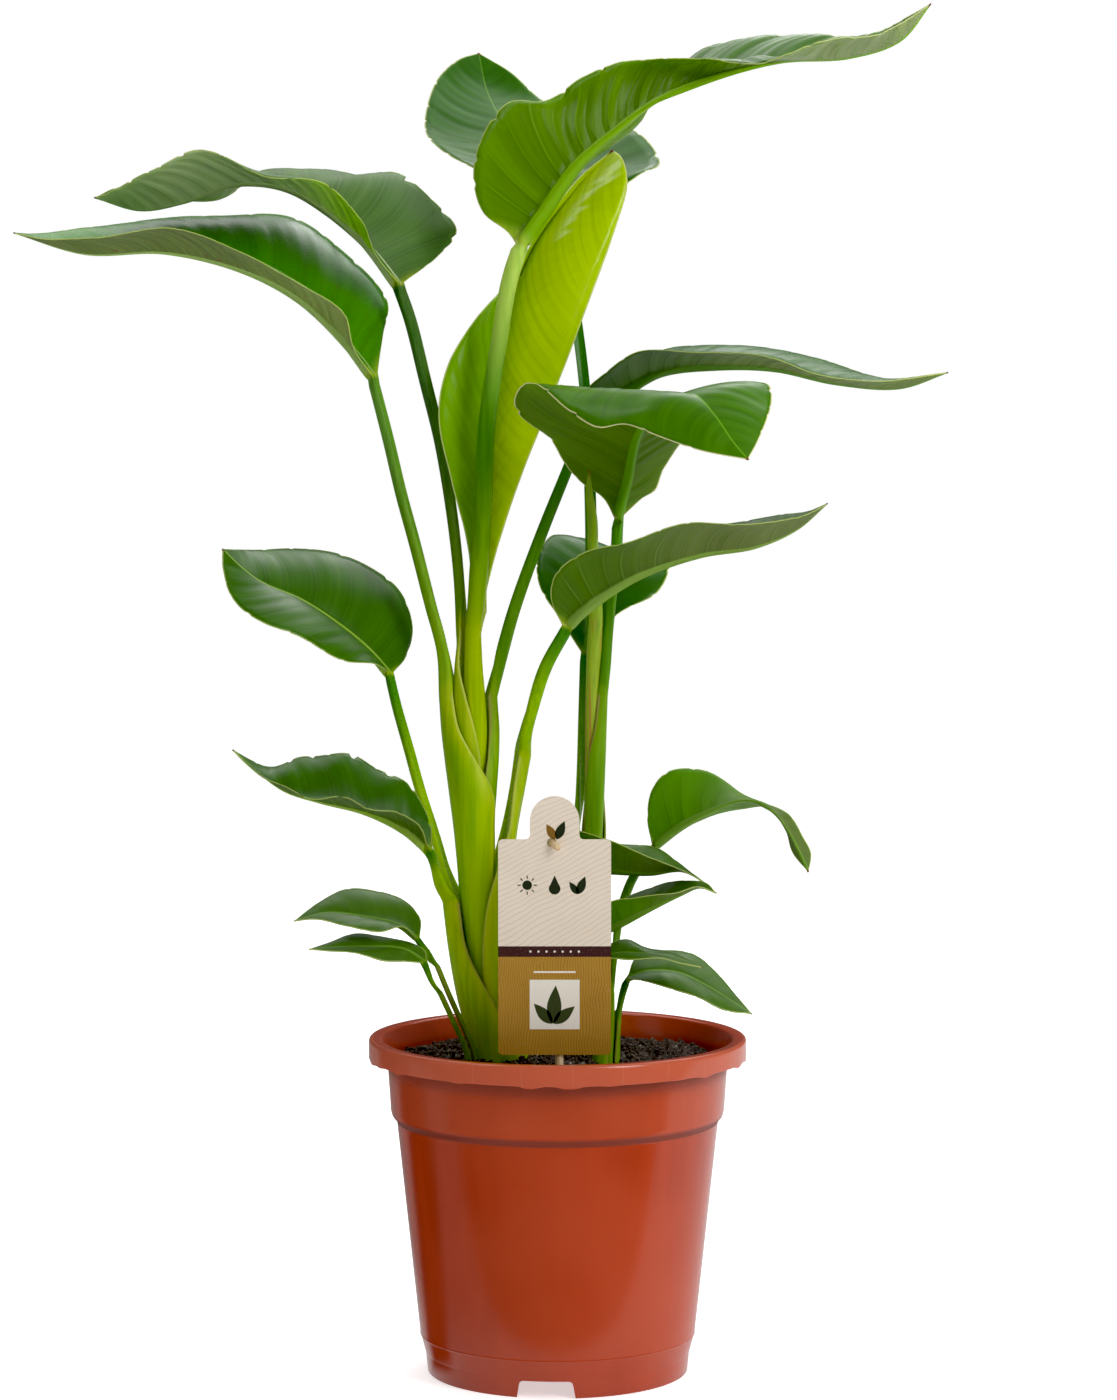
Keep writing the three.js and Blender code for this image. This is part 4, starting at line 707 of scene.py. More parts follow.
def leaf_finish(name, upper, under, rib, stalk, foot, neck=None, shaded_left=None, near=None, far=(2.12, 2.5),
                margin="c3cf7a", hem="c4c860", blush="c8d020", gloss=0.3, back_gloss=0.5, sheen=0.3,
                glow=0.25, spots=0.0, veins=1.0, edging=0.6, depth=1.0, swing=0.0, mottle=0.25):
    """A waxy leaf, glossy above and duller and paler below, with side veins and painted shade beside them, a
    midrib, a thin pale margin and a sheath that is yellower at its foot. Some are painted darker green on the
    left half for the shade it lies in, another colour below near the stalk, spotted with rust below, or have
    side veins that swing further on the right half."""
    made, tree, shader = finish(name, IOR=1.45, Specular_IOR_Level=sheen, Subsurface_Weight=glow,
                                Subsurface_Scale=0.0018, Subsurface_Radius=(0.8, 1.0, 0.2))
    run, off, inland = parts(node(tree, "Attribute", attribute_name="vein").outputs["Vector"])
    stage, _, back = parts(node(tree, "Attribute", attribute_name="place").outputs["Vector"])
    run = reckon("MULTIPLY_ADD", reckon("MAXIMUM", off, 0.0), swing, run)
    place = own_place(tree)
    cloud = noise(place, 16.0, 3.0)
    speck = noise(place, 500.0, 1.0)

    def strands(along, aside, detail, rough=0.6):
        """Noise drawn out along the side veins."""
        sockets = {0: times(run, along), 1: times(off, aside)}
        return noise(fed("CombineXYZ", sockets).outputs[0], 1.0, detail, rough)

    def darker(face, tint):
        return blend(1.0, face, tint, "MULTIPLY")

    thread, fine, broad = strands(900.0, 14.0, 1.0), strands(330.0, 6.0, 1.0), strands(62.0, 5.0, 1.0)
    apart = NERVE_APART * MILLIMETRE / 2
    strayed = reckon("MULTIPLY_ADD", broad, 0.009, run)
    nerve = reckon("DIVIDE", reckon("PINGPONG", strayed, apart), apart)
    strength = times(between(inland, 0.001, 0.014),
                     between(strands(80.0, 4.0, 1.0), 0.3, 0.6, 0.35, 1.0))

    # Blade: its two faces, mottled, with dark and pale strands, side veins with painted shade beside them,
    # rust, midrib, margin and tip
    over, beneath = upper, under
    # Painted shade: the left half of the blade is made darker green
    if shaded_left:
        over = blend(between(off, -0.010, -0.002), shaded_left, upper)
    if near:
        beneath = blend(between(stage, *far), near, under)
    face = blend(back, over, beneath)
    face = blend(between(cloud, 0.3, 0.75, 0, mottle), face, margin, "SOFT_LIGHT")
    dark = darker(face, (0.5, 0.6, 0.5, 1))
    face = blend(between(broad, 0.62, 0.4, 0, 0.3 * veins), face, dark)
    face = blend(between(thread, 0.5, 0.64, 0, 0.2 * veins), face, dark)
    pale = blend(0.6, face, rib)
    fibres = times(between(fine, 0.57, 0.68), between(back, 0, 1, 0.08, 0.25 * veins))
    face = blend(fibres, face, pale)
    # Painted shade in the crease beside each side vein
    face = blend(times(between(nerve, 0.5, 0.1, 0, 0.5 * veins), strength), face, dark)
    shown = either(back, 0.12 * veins, 0.75 * veins)
    face = blend(times(between(nerve, 0.12, 0.03), shown, strength), face, pale)
    rust = times(between(strands(170.0, 100.0, 3.0, 0.55), 0.65, 0.68), spots,
                 between(back, 0, 1, 0.25, 1))
    face = blend(rust, face, "6b4a22")
    thick = times(reckon("MULTIPLY_ADD", back, 0.0016, 0.0011),
                  between(stage, 2.0, 3.0, 1.25, 0.45))
    ribbed = between(reckon("DIVIDE", reckon("ABSOLUTE", off), thick), 0.75, 1.15, 1, 0)
    face = blend(ribbed, face, rib)
    face = blend(between(inland, 0.0004, 0.0010, edging, 0), face, margin)
    tip = reckon("ADD", stage, times(cloud, 0.02))
    face = blend(between(tip, 2.993, 3.004), face, "6f4a1e")

    # Sheath and stalk: from the foot's colour to the stalk's and the neck's, streaked, paler at the hem
    stem = blend(between(parts(place)[2], 0.30, 0.62), foot, stalk)
    stem = blend(between(stage, 1.5, 2.0), stem, neck or stalk)
    stem = blend(between(inland, 0.002, 0.014, 0.5, 0), stem, blush)
    streak = noise(stretched(place, (260, 260, 7)), 1.0, 3.0)
    stem = blend(between(streak, 0.42, 0.68, 0, 0.7), stem, darker(stem, (0.6, 0.78, 0.5, 1)))
    hemmed = between(reckon("MULTIPLY_ADD", cloud, 0.001, inland), 0.0009, 0.0022, 0.6, 0)
    stem = blend(hemmed, stem, hem)

    # Roughness and relief: side veins sunk above and raised below, none on the midrib and little at the tip
    shine = reckon("MULTIPLY_ADD", back, back_gloss - gloss, gloss)
    shine = times(reckon("MULTIPLY_ADD", speck, 0.1, shine),
                  between(stage, 1.98, 2.05, 0.8, 1.0))
    crease = times(reckon("POWER", nerve, 0.6), strength,
                   either(back, 0.15 * depth, -2.6 * depth))
    relief = times(reckon("MULTIPLY_ADD", fine, 0.2, crease),
                   between(stage, 1.98, 2.1, 0.05, veins), reckon("SUBTRACT", 1.0, ribbed),
                   between(stage, 2.6, 2.95, 1.0, 0.2))
    dress(shader, blend(between(stage, 1.985, 2.03), stem, face), shine, relief, 0.0003)
    return made


fresh = leaf_finish("bright top leaf", "4f7a2a", "8c9a6a", "7cac14", "4f8c04", "ccdc00", neck="c0dc66",
                    glow=0.5, back_gloss=0.32, depth=1.6, margin="d8dc98", near="669002", far=(2.45, 2.8))
# Its pale grey underside is partly its own waxy bloom and partly painted sheen, and near the stalk it is
# painted bright yellow-green for the light that shines through it there
grey_sheen_back = leaf_finish("grey-backed leaf with painted sheen", "527634", "b4c098", "b4c48c", "466c2c", "a8cc00", gloss=0.4,
                        back_gloss=0.42, near="b0d838", glow=0.4)
spotted = leaf_finish("spotted leaf", "468a04", "667737", "8fae5a", "649430", "a8cc00", spots=0.8,
                      gloss=0.24, back_gloss=0.42, edging=0.8, near="849848")
deep = leaf_finish("deep green leaf", "386e10", "6c8038", "5c8c24", "3c7c14", "8cb804", gloss=0.3,
                   edging=0.8, blush="9cb818", hem="a89a60", near="5a7a34")
arched = leaf_finish("arched leaf", "4c8012", "628420", "6aa41e", "4a8c10", "709c04", gloss=0.3,
                     neck="5c9c18", margin="dcdca0", edging=1.0, blush="8cb010", hem="b8946a")
soft = leaf_finish("soft green leaf", "3e6c0c", "50701c", "8cae3c", "448808", "a8cc00", gloss=0.3,
                   hem="a8985a")
browned = leaf_finish("brown-backed leaf", "3e6c0c", "64733a", "7c9c40", "448808", "a8cc00", gloss=0.3,
                      near="4c6f0e", far=(2.1, 2.6), veins=0.7)
small = leaf_finish("small side leaf", "4c7220", "667c3a", "6c9630", "3a7408", "6c9c08", gloss=0.32,
                    near="5a8e0c", far=(2.2, 2.7), veins=0.6, blush="8cb010", hem="98904c")

main_shoot = Shoot([(-35, 8, 150), (-35, 8, 207), (-41, 8, 238), (-46, 8, 270), (-49.5, 8, 300),
                    (-51.5, 8, 345), (-52, 8, 480)],
                   [172, 207, 238, 270, 300, 325, 345, 372, 392, 410, 430, 450, 470], (3.4, 5.4))
grow(main_shoot, "leaf_top", fresh,
     back=-100, top=470, wave=1.2, pleats=0.8, fray=0.02, foot=(12, 8), neck=(10, 6.5), bow=(0.05, 0.07),
     joint=6,
     stalk=[(-50, -3, 511), (-47, -8, 555), (-44, -12, 605), (-36, -15, 658), (-30, -17, 692),
            (-23, -18, 714)],
     midrib=[(-23, -18, 716), (-9, -20, 735), (13, -25, 764), (35, -29, 783), (60, -34, 801),
             (95, -40, 815), (137, -46, 825), (179, -50, 827), (210, -52, 837), (229, -50, 860)],
     left=[(-20, -16, 717), (-8, -9, 736), (6, -2, 753), (27, 4, 773), (47, 10, 788), (65, 17, 811),
           (87, 20, 834), (115, 10, 844), (151, -8, 846), (193, -30, 843)],
     right=[(-26, -19, 715), (-31, -18, 722), (-47, -12, 735), (-53, -5, 760), (-45, 2, 787),
            (-30, 8, 804), (-7, 8, 805), (17, 3, 820), (42, -8, 829), (86, -46, 827), (126, -78, 823),
            (158, -84, 834), (196, -68, 840)])
grow(main_shoot, "leaf_left_upper", grey_sheen_back,
     back=178, top=470, spread_at_top=34, wave=2.6, waves=7, fray=0.03, foot=(9, 6.5), neck=(8, 6),
     bow=(0.07, 0.06), joint=6,
     stalk=[(-63, 11, 510), (-67, 13, 548), (-74, 14, 592), (-83, 13, 630), (-92, 11, 668), (-99, 9, 689)],
     midrib=[(-99, 9, 691), (-117, 4, 713), (-143, 0, 735), (-171, -2, 750), (-202, -4, 752),
             (-233, -6, 741), (-261, -6, 736), (-290, -4, 744)],
     left=[(-101, 5, 692), (-114, -16, 708), (-120, -34, 729), (-143, -48, 748), (-176, -54, 756),
           (-220, -52, 769), (-251, -42, 760), (-275, -20, 748)],
     right=[(-97, 12, 692), (-77, 30, 708), (-64, 44, 727), (-93, 56, 756), (-107, 60, 762),
            (-123, 58, 760), (-141, 58, 766), (-182, 50, 762), (-213, 34, 746), (-245, 22, 746),
            (-275, 8, 751)])
grow(main_shoot, "leaf_right_upper", deep,
     back=-5, top=430, spread_at_top=26, opening=120, wave=1.2, waves=4, foot=(11, 8), neck=(7.5, 6),
     bow=(0.06, 0.06), joint=6,
     stalk=[(-38, 8, 446), (-28, 10, 485), (-13, 12, 529), (2, 14, 568), (15, 16, 600), (25, 18, 615)],
     midrib=[(25, 18, 617), (41, 16, 624), (65, 12, 636), (102, 8, 639), (137, 4, 637), (175, 0, 628),
             (215, -4, 625), (245, -8, 635)],
     left=[(28, 21, 617), (40, 38, 629), (66, 54, 649), (95, 60, 654), (130, 58, 652), (171, 46, 642),
           (208, 20, 632)],
     right=[(22, 15, 617), (18, 2, 623), (30, -18, 634), (51, -34, 648), (86, -42, 648), (125, -44, 645),
            (160, -38, 633), (201, -26, 630)])
grow(main_shoot, "leaf_left_large", spotted,
     back=183, top=430, spread=138, spread_at_top=30, opening=75, wave=2.0, foot=(12, 7.5), neck=(7, 6),
     bow=(0.06, 0.08), joint=6,
     stalk=[(-73, 4, 460), (-80, 2, 489), (-89, -2, 527), (-97, -4, 558), (-105, -7, 594), (-114, -9, 631)],
     midrib=[(-114, -9, 633), (-132, -14, 655), (-161, -20, 681), (-198, -24, 699), (-244, -28, 709),
             (-293, -32, 708), (-337, -34, 721)],
     left=[(-117, -13, 634), (-127, -38, 650), (-132, -58, 672), (-157, -72, 690), (-196, -78, 707),
           (-239, -78, 723), (-283, -64, 717), (-314, -48, 716)],
     right=[(-113, -5, 635), (-111, 20, 659), (-109, 38, 681), (-132, 50, 710), (-168, 54, 733),
            (-213, 50, 734), (-247, 38, 735), (-294, 10, 726), (-323, -14, 721)])
grow(main_shoot, "leaf_left_lower", soft,
     back=172, top=300, spread_at_top=34, opening=110, foot=(12, 5.5), neck=(6, 5), bow=(0.05, 0.08),
     joint=6,
     stalk=[(-71, 10, 315), (-78, 9, 340), (-87, 8, 370), (-94, 8, 397), (-101, 6, 424), (-105, 4, 443)],
     midrib=[(-105, 4, 445), (-120, -3, 462), (-140, -12, 479), (-161, -18, 493), (-185, -24, 504),
             (-198, -28, 514), (-209, -30, 525)],
     left=[(-108, 0, 447), (-115, -16, 452), (-132, -38, 456), (-156, -56, 469), (-183, -62, 482),
           (-202, -52, 497), (-208, -40, 512)],
     right=[(-104, 7, 446), (-97, 20, 454), (-93, 34, 474), (-102, 42, 498), (-133, 40, 516),
            (-166, 28, 524), (-193, 4, 523)])
grow(main_shoot, "leaf_right_lower", browned,
     back=6, top=392, lean=12, spread_at_top=15, opening=150, parting=300, foot=(11, 8), neck=(8, 6),
     bow=(0.05, 0.07), joint=5,
     stalk=[(-20, -2, 408), (-16, -12, 426), (-8, -25, 452), (5, -36, 477)],
     midrib=[(5, -36, 479), (21, -43, 492), (51, -52, 510), (88, -58, 522), (122, -58, 527),
             (148, -55, 538), (167, -50, 554)],
     left=[(8, -33, 480), (20, -28, 502), (42, -24, 520), (74, -20, 533), (105, -22, 541), (136, -28, 546),
           (154, -38, 548)],
     right=[(3, -39, 478), (-4, -52, 494), (-1, -66, 511), (17, -80, 526), (47, -90, 532), (81, -94, 543),
            (117, -88, 543), (149, -68, 546)])
grow(main_shoot, "leaf_left_bottom", soft,
     back=207, top=300, spread_at_top=14, opening=120, wave=1.8, waves=9, fray=0.05, foot=(11, 7.5),
     neck=(8, 5), bow=(0.05, 0.08), joint=4,
     stalk=[(-74, -6, 312), (-76, -9, 324), (-79, -13, 334)],
     midrib=[(-80, -14, 335), (-96, -18, 348), (-121, -26, 360), (-149, -32, 367), (-170, -37, 374),
             (-187, -38, 386), (-203, -36, 400)],
     left=[(-82, -17, 337), (-88, -36, 355), (-107, -54, 363), (-131, -62, 371), (-159, -60, 374),
           (-180, -50, 383), (-194, -41, 391)],
     right=[(-79, -13, 336), (-81, -8, 353), (-91, -2, 371), (-109, 2, 383), (-135, 0, 394),
            (-160, -6, 393), (-177, -16, 388), (-191, -28, 392)])

# The main shoot's newest leaf, half unrolled. Its stem fills the middle of the nest. Its left half is
# painted darker green for the shade it lies in, and the other half is yellow-green and shiny.
young = leaf_finish("young yellow-green leaf", "b4cc00", "a8c400", "c8d830", "b8c808", "ccd400",
                    shaded_left="78a700", gloss=0.2, back_gloss=0.25, glow=0.4, veins=0.6, swing=2.4,
                    mottle=0.7, margin="e0e4a0", sheen=0.5)


def grow_unrolling(shoot, name, material, **habit):
    """A leaf without a sheath of its own, whose stem stands upright in the axis of its shoot."""
    leaf = with_tip(habit)
    (w0, d0), (w1, d1) = leaf["foot"], leaf["neck"]
    heights = np.linspace(shoot.levels[0], shoot.levels[-1], 60)
    s = ((heights - heights[0]) / (heights[-1] - heights[0]))[:, None]
    width, depth = w0 + (w1 - w0) * s, d0 + (d1 - d0) * s
    centre = shoot.centre(heights) + np.hstack([0 * s, -depth / 2, 0 * s])
    aside, face = np.array([[1.0, 0, 0]]), np.array([[0, -1.0, 0]])
    upper, under = channelled(centre, aside, face, width, depth)
    blade_upper, blade_under, blade_vein, row = blade_rows(leaf)
    ones = np.ones_like(CROWDED)
    stem_vein = np.stack([heights[:, None] * ones, CROWDED * width / 2, FAR_INLAND * ones + 0 * width], -1)
    stage = np.concatenate([s[:, 0] * 1.9, 2 + row[:, 0]])
    return belongs(weave(name + "_grown", np.vstack([upper, blade_upper]), np.vstack([under, blade_under]),
                         np.vstack([stem_vein, blade_vein]), stage, material), "young_leaf", name)


grow_unrolling(main_shoot, "leaf_unrolling", young,
               wave=0, waves=4, fray=0, foot=(5, 4.6), neck=(7.2, 6.4), bow=(0.12, 0.24),
               midrib=[(-50, 13, 484), (-49, 18, 535), (-44, 22, 599), (-35, 24, 656), (-19, 26, 709),
                       (8, 30, 747), (35, 34, 776)],
               left=[(-53, 11, 485), (-57, 8, 526), (-67, 2, 567), (-75, -2, 608), (-69, 0, 640),
                     (-53, 6, 667), (-31, 14, 693), (-11, 22, 726), (13, 30, 758)],
               right=[(-48, 11, 485), (-40, 8, 517), (-26, 4, 561), (-10, 2, 602), (5, 2, 640),
                      (20, 4, 680), (35, 8, 721), (44, 14, 753), (41, 24, 770)])

# Right shoot. Three leaves clasp a new one that is still rolled up into a spear. The one in front arches
# towards the viewer, so that its underside hangs below its pale margin.
right_shoot = Shoot([(20, 15, 150), (20, 15, 207), (21.5, 15, 345), (22, 15, 430)],
                    [172, 207, 260, 315, 345, 372, 392, 410, 430], (3, 4.4))
grow(right_shoot, "leaf_right_arched", arched,
     back=-20, top=430, spread=124, spread_at_top=30, opening=62, sheath_back=1.8, bow_from=0.35, wave=0,
     waves=4, foot=(7, 5.5), neck=(7, 5.5), bow=(0.06, 0.14), joint=5,
     stalk=[(31, 12, 448), (32, 13, 468), (34, 14, 492), (37, 14, 518), (38, 14, 541)],
     midrib=[(38, 14, 544), (44, -1, 567), (50, -30, 596), (64, -65, 616), (82, -91, 621), (95, -112, 608),
             (105, -123, 593), (114, -130, 582)],
     left=[(42, 15, 545), (54, 13, 556), (62, 12, 561), (66, 8, 572), (73, 0, 584), (85, -17, 601),
           (104, -42, 622), (117, -58, 627), (126, -69, 628), (130, -80, 625), (130, -90, 616),
           (127, -103, 607), (120, -120, 592)],
     right=[(36, 13, 543), (29, 10, 556), (16, 3, 565), (5, -4, 577), (-5, -13, 594), (-16, -20, 602),
            (-25, -26, 610), (-27, -30, 618), (-22, -38, 627), (-15, -48, 628), (-9, -61, 625),
            (6, -82, 612), (24, -96, 601), (41, -104, 603), (60, -113, 596), (87, -124, 587)])
grow(right_shoot, "leaf_back_top", deep,
     back=80, top=392, lean=1, spread_at_top=26, sheath_back=1.8, waves=4, foot=(8, 5), neck=(6.5, 5),
     bow=(-0.05, -0.05), joint=7,
     stalk=[(23, 24, 433), (22, 29, 490), (21, 34, 554), (18, 39, 618), (12, 43, 669), (5, 46, 710),
            (0, 48, 732)],
     midrib=[(0, 48, 734), (-11, 68, 755), (-24, 104, 780), (-38, 142, 804), (-48, 174, 826),
             (-53, 190, 850)],
     left=[(-3, 49, 735), (-24, 52, 747), (-53, 66, 766), (-77, 88, 782), (-87, 118, 795), (-80, 158, 830),
           (-66, 178, 845)],
     right=[(2, 49, 734), (27, 50, 742), (53, 62, 762), (66, 84, 771), (54, 120, 792), (21, 152, 804),
            (-10, 176, 818), (-31, 186, 837)])
grow(right_shoot, "leaf_back_lower", deep,
     back=148, top=345, lean=1, spread_at_top=22, sheath_back=1.8, waves=4, foot=(7, 4.5), neck=(5, 4),
     bow=(0.06, 0.06), joint=4,
     stalk=[(14, 27, 369), (16, 30, 413), (17, 33, 455)],
     midrib=[(17, 33, 457), (22, 42, 480), (29, 60, 505), (34, 90, 521), (39, 126, 514), (43, 160, 490)],
     left=[(15, 33, 457), (2, 34, 477), (-11, 44, 497), (-13, 62, 516), (-4, 88, 529), (15, 120, 520),
           (31, 146, 501)],
     right=[(19, 33, 457), (38, 38, 480), (63, 44, 494), (73, 66, 513), (70, 96, 523), (58, 134, 511)])

# The rolled spear. One blade wound round itself, whose free margin runs up it as a spiral seam.
SPEAR = [(20, 15, 172), (20, 15, 207), (21.5, 15, 345), (22, 15, 425), (23, 12, 459), (24, 8, 485),
         (22, 2, 517), (22, -3, 542), (20, -7, 561), (20, -9, 574)]
SPEAR_RADII = [2.9, 3.1, 3.8, 4.2, 4.7, 4.3, 3.7, 3.2, 2, 0.5]


def rod(path, radii, sides, spiral=0.0, lap=0.0):
    """A rod along a path. With a lap, its section winds outwards and steps back at a spiral seam."""
    line = Rail(path)
    nodes = np.concatenate([[0], np.cumsum(np.linalg.norm(np.diff(np.array(path, float), axis=0), axis=1))])
    share = np.linspace(0, 1, max(12, int(line.length / 3)))
    radius = np.interp(share * nodes[-1], nodes, radii)
    across, rings = np.array([1.0, 0, 0]), []
    for centre, way, r, s in zip(line(share), line.along(share), radius, share):
        across = unit(across - way * across.dot(way))
        other = np.cross(way, across)
        k = np.arange(sides)[:, None]
        lift, turn = 1 + lap * (k / (sides - 1) - 0.5), math.tau * (k / sides + spiral * s)
        rings.append(centre + (across * np.cos(turn) + other * np.sin(turn)) * r * lift)
    return tube(rings, line(0.0), line(1.0))


spear_finish, tree, shader = finish("rolled young leaf", IOR=1.45, Subsurface_Weight=0.2,
                                    Subsurface_Scale=0.002, Subsurface_Radius=(0.8, 1.0, 0.25))
place = own_place(tree)
height = parts(place)[2]
streak = noise(stretched(place, (420, 420, 14)), 1.0, 3.0)
base = blend(between(height, 0.36, 0.52), "b4c43a", "92b42a")
base = blend(between(streak, 0.4, 0.75, 0, 0.6), base, "6a9420")
seam = noise(stretched(place, (300, 300, 4)), 1.0, 1.0)
seam = times(between(seam, 0.56, 0.64), between(height, 0.5, 0.44), 0.7)
base = blend(seam, base, "b07c3c")
base = blend(between(height, 0.566, 0.575), base, "8a6a2a")
dress(shader, base, between(streak, 0.2, 0.8, 0.25, 0.4), streak, 0.0003)
belongs(link("leaf_rolled_spear_grown", *rod(SPEAR, SPEAR_RADII, 40, 1.6, 0.3), spear_finish),
        "young_leaf", "leaf_rolled_spear")

# Two side shoots. A small pair of leaves at the left foot of the main shoot, and five small ones that
# come up behind the label and reach out to the right of it.
side_leaf = dict(spread=75, spread_at_top=45, sheath_back=1.4, wave=0.8, waves=4, bow=(0.05, 0.08), joint=3)
left_sucker = Shoot([(-54, -12, 150), (-54, -12, 203), (-63, -17, 225), (-70, -21, 241), (-79, -26, 264)],
                    [172, 207, 225, 244, 262], (1.2, 1.2))
grow(left_sucker, "sucker_left_leaf_upper", small,
     **{**side_leaf, "sheath_back": 2.4}, back=20, top=262, foot=(5, 3), neck=(4.5, 3),
     stalk=[(-82, -23, 270), (-87, -22, 278)],
     midrib=[(-88, -22, 280), (-99, -24, 288), (-121, -28, 294), (-146, -32, 297), (-165, -34, 292)],
     left=[(-89, -25, 280), (-97, -34, 288), (-111, -44, 287), (-133, -46, 290), (-150, -40, 294)],
     right=[(-87, -20, 280), (-87, -12, 291), (-101, -6, 304), (-131, -8, 309), (-151, -22, 302)])
grow(left_sucker, "sucker_left_leaf_lower", small,
     **{**side_leaf, "sheath_back": 2.4}, back=215, top=244, foot=(5, 3), neck=(4.5, 3),
     stalk=[(-79, -31, 254), (-83, -33, 265)],
     midrib=[(-84, -34, 267), (-96, -38, 275), (-121, -43, 277), (-142, -46, 277), (-155, -48, 276)],
     left=[(-85, -37, 266), (-95, -48, 268), (-108, -54, 270), (-132, -55, 275)],
     right=[(-82, -32, 267), (-84, -28, 273), (-103, -25, 280), (-127, -30, 283), (-144, -39, 279)])
right_sucker = Shoot([(30, -17, 150), (30, -17, 207), (31, -18, 226), (31, -19, 245)],
                     [172, 207, 226, 245], (1.2, 1.2))
grow(right_sucker, "sucker_right_leaf_top", small,
     **{**side_leaf, "joint": 4}, back=-10, top=245, foot=(6, 3), neck=(5.5, 3.6),
     stalk=[(37, -8, 271), (40, -2, 293), (47, 4, 313), (55, 6, 326), (60, 6, 334)],
     midrib=[(61, 6, 335), (77, 1, 347), (97, -6, 358), (118, -14, 366), (132, -21, 362), (142, -26, 352),
             (150, -31, 338), (157, -35, 323)],
     left=[(63, 8, 335), (79, 14, 344), (103, 18, 355), (122, 12, 359), (133, -1, 359), (144, -16, 347),
           (148, -26, 334)],
     right=[(60, 5, 336), (57, 11, 352), (60, 18, 370), (71, 24, 381), (95, 24, 381), (117, 10, 369),
            (131, -2, 364), (146, -16, 357), (154, -24, 344), (159, -30, 334)])
grow(right_sucker, "sucker_right_leaf_upper", small,
     **{**side_leaf, "joint": 4}, back=170, top=245, foot=(6, 3), neck=(5, 3.4),
     stalk=[(23, -15, 272), (15, -17, 296), (5, -19, 316), (-2, -21, 326)],
     midrib=[(-3, -21, 327), (14, -24, 324), (36, -28, 322), (58, -31, 321), (78, -32, 323),
             (92, -30, 316)],
     left=[(-1, -19, 328), (13, -12, 334), (30, -6, 338), (47, -4, 337), (62, -6, 335), (76, -14, 327)],
     right=[(-4, -23, 329), (-14, -30, 338), (-17, -38, 348), (-2, -46, 354), (26, -52, 347),
            (54, -50, 335), (76, -42, 326)])
grow(right_sucker, "sucker_right_leaf_middle", small,
     **side_leaf, back=-80, top=245, foot=(5.5, 3), neck=(5, 3.2),
     stalk=[(30, -25, 260), (29, -25, 273), (27, -25, 282)],
     midrib=[(27, -26, 284), (40, -31, 290), (59, -36, 300), (77, -40, 309), (89, -43, 314),
             (99, -46, 311)],
     left=[(29, -24, 284), (34, -16, 294), (44, -13, 305), (65, -18, 313), (82, -30, 317), (93, -40, 317)],
     right=[(25, -28, 285), (24, -40, 297), (34, -50, 307), (54, -56, 310), (73, -56, 312), (87, -52, 316)])
grow(right_sucker, "sucker_right_leaf_lower", small,
     **{**side_leaf, "spread": 70}, back=-125, top=226, lean=1, foot=(5.5, 3), neck=(5, 3.2),
     stalk=[(26, -31, 242), (25, -35, 255), (25, -36, 264)],
     midrib=[(26, -37, 266), (36, -40, 272), (55, -46, 273), (73, -50, 271), (90, -52, 265)],
     left=[(27, -35, 267), (32, -31, 276), (44, -28, 280), (58, -32, 274), (75, -41, 272)],
     right=[(25, -39, 265), (30, -49, 270), (45, -56, 271), (64, -58, 271), (79, -56, 268)])
grow(right_sucker, "sucker_right_leaf_bottom", small,
     **{**side_leaf, "spread": 70}, back=8, top=226, lean=1, foot=(5.5, 3), neck=(5, 3.2),
     stalk=[(40, -15, 238), (42, -14, 247), (44, -13, 253)],
     midrib=[(45, -12, 254), (58, -14, 258), (77, -18, 257), (97, -24, 248), (122, -32, 233)],
     left=[(45, -10, 255), (49, 0, 263), (65, 8, 268), (84, 6, 267), (102, -8, 254), (114, -22, 242)],
     right=[(43, -14, 253), (53, -26, 253), (71, -36, 250), (88, -41, 244), (103, -40, 237)])

# Plant label. A stiff card with rounded corners and a round tab, printed cream over ochre brown with a
# dark band between, in generic motifs: care signs, ripples and two paddle leaves. It keeps its node.
LABEL_MIDDLE, LABEL_FACE, LABEL_THICK = -1.8, -62.5, 1
BAND_TOP, BAND_FOOT, BLUR = 0.2799, 0.2733, 0.0001
INK, THICK_INK, INK_SUNK = 0.06, 0.12, 0.05
TAB_MARK, SIGNS, SUN = 346.5, 312.4, (-17, 318)
card, tree, shader = finish("printed card", Specular_IOR_Level=0.3)
place = own_place(tree)
height = parts(place)[2]
fibre = noise(place, 1500.0, 3.0)
cloudy = noise(place, 60.0, 2.0)
ripple = fed("TexWave", {"Vector": stretched(place, (1, 0, 1), (0, 0.5, 0)), "Scale": 105.0,
                         "Distortion": 9.0, "Detail": 1.5, "Detail Scale": 0.35},
             wave_type="RINGS").outputs["Fac"]
cream = blend(cloudy, "e2d3bf", "e9dccb")
cream = blend(between(ripple, 0.90, 0.97, 0, 0.35), cream, "b39a7c")
hatch = fed("TexWave", {"Vector": stretched(place, (1, 0, 1)), "Scale": 190.0, "Distortion": 16.0,
                        "Detail": 1.0, "Detail Scale": 0.25}).outputs["Fac"]
ochre = blend(cloudy, "a87e2c", "b98b33")
ochre = blend(between(hatch, 0.80, 0.95, 0, 0.45), ochre, "5d431a")
face = blend(between(height, BAND_FOOT - BLUR, BAND_FOOT + BLUR), ochre, "472724")
face = blend(between(height, BAND_TOP - BLUR, BAND_TOP + BLUR), face, cream)
front = times(parts(node(tree, "NewGeometry").outputs["Normal"])[1], -1.0)
base = blend(between(front, 0.4, 0.6), "ddd2c2", face)
base = blend(between(fibre, 0.6, 0.75, 0, 0.15), base, "ffffff")
dress(shader, base, between(fibre, 0.2, 0.8, 0.42, 0.6), fibre, 0.00005)
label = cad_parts["label"]
label.data.materials.clear()
label.data.materials.append(card)


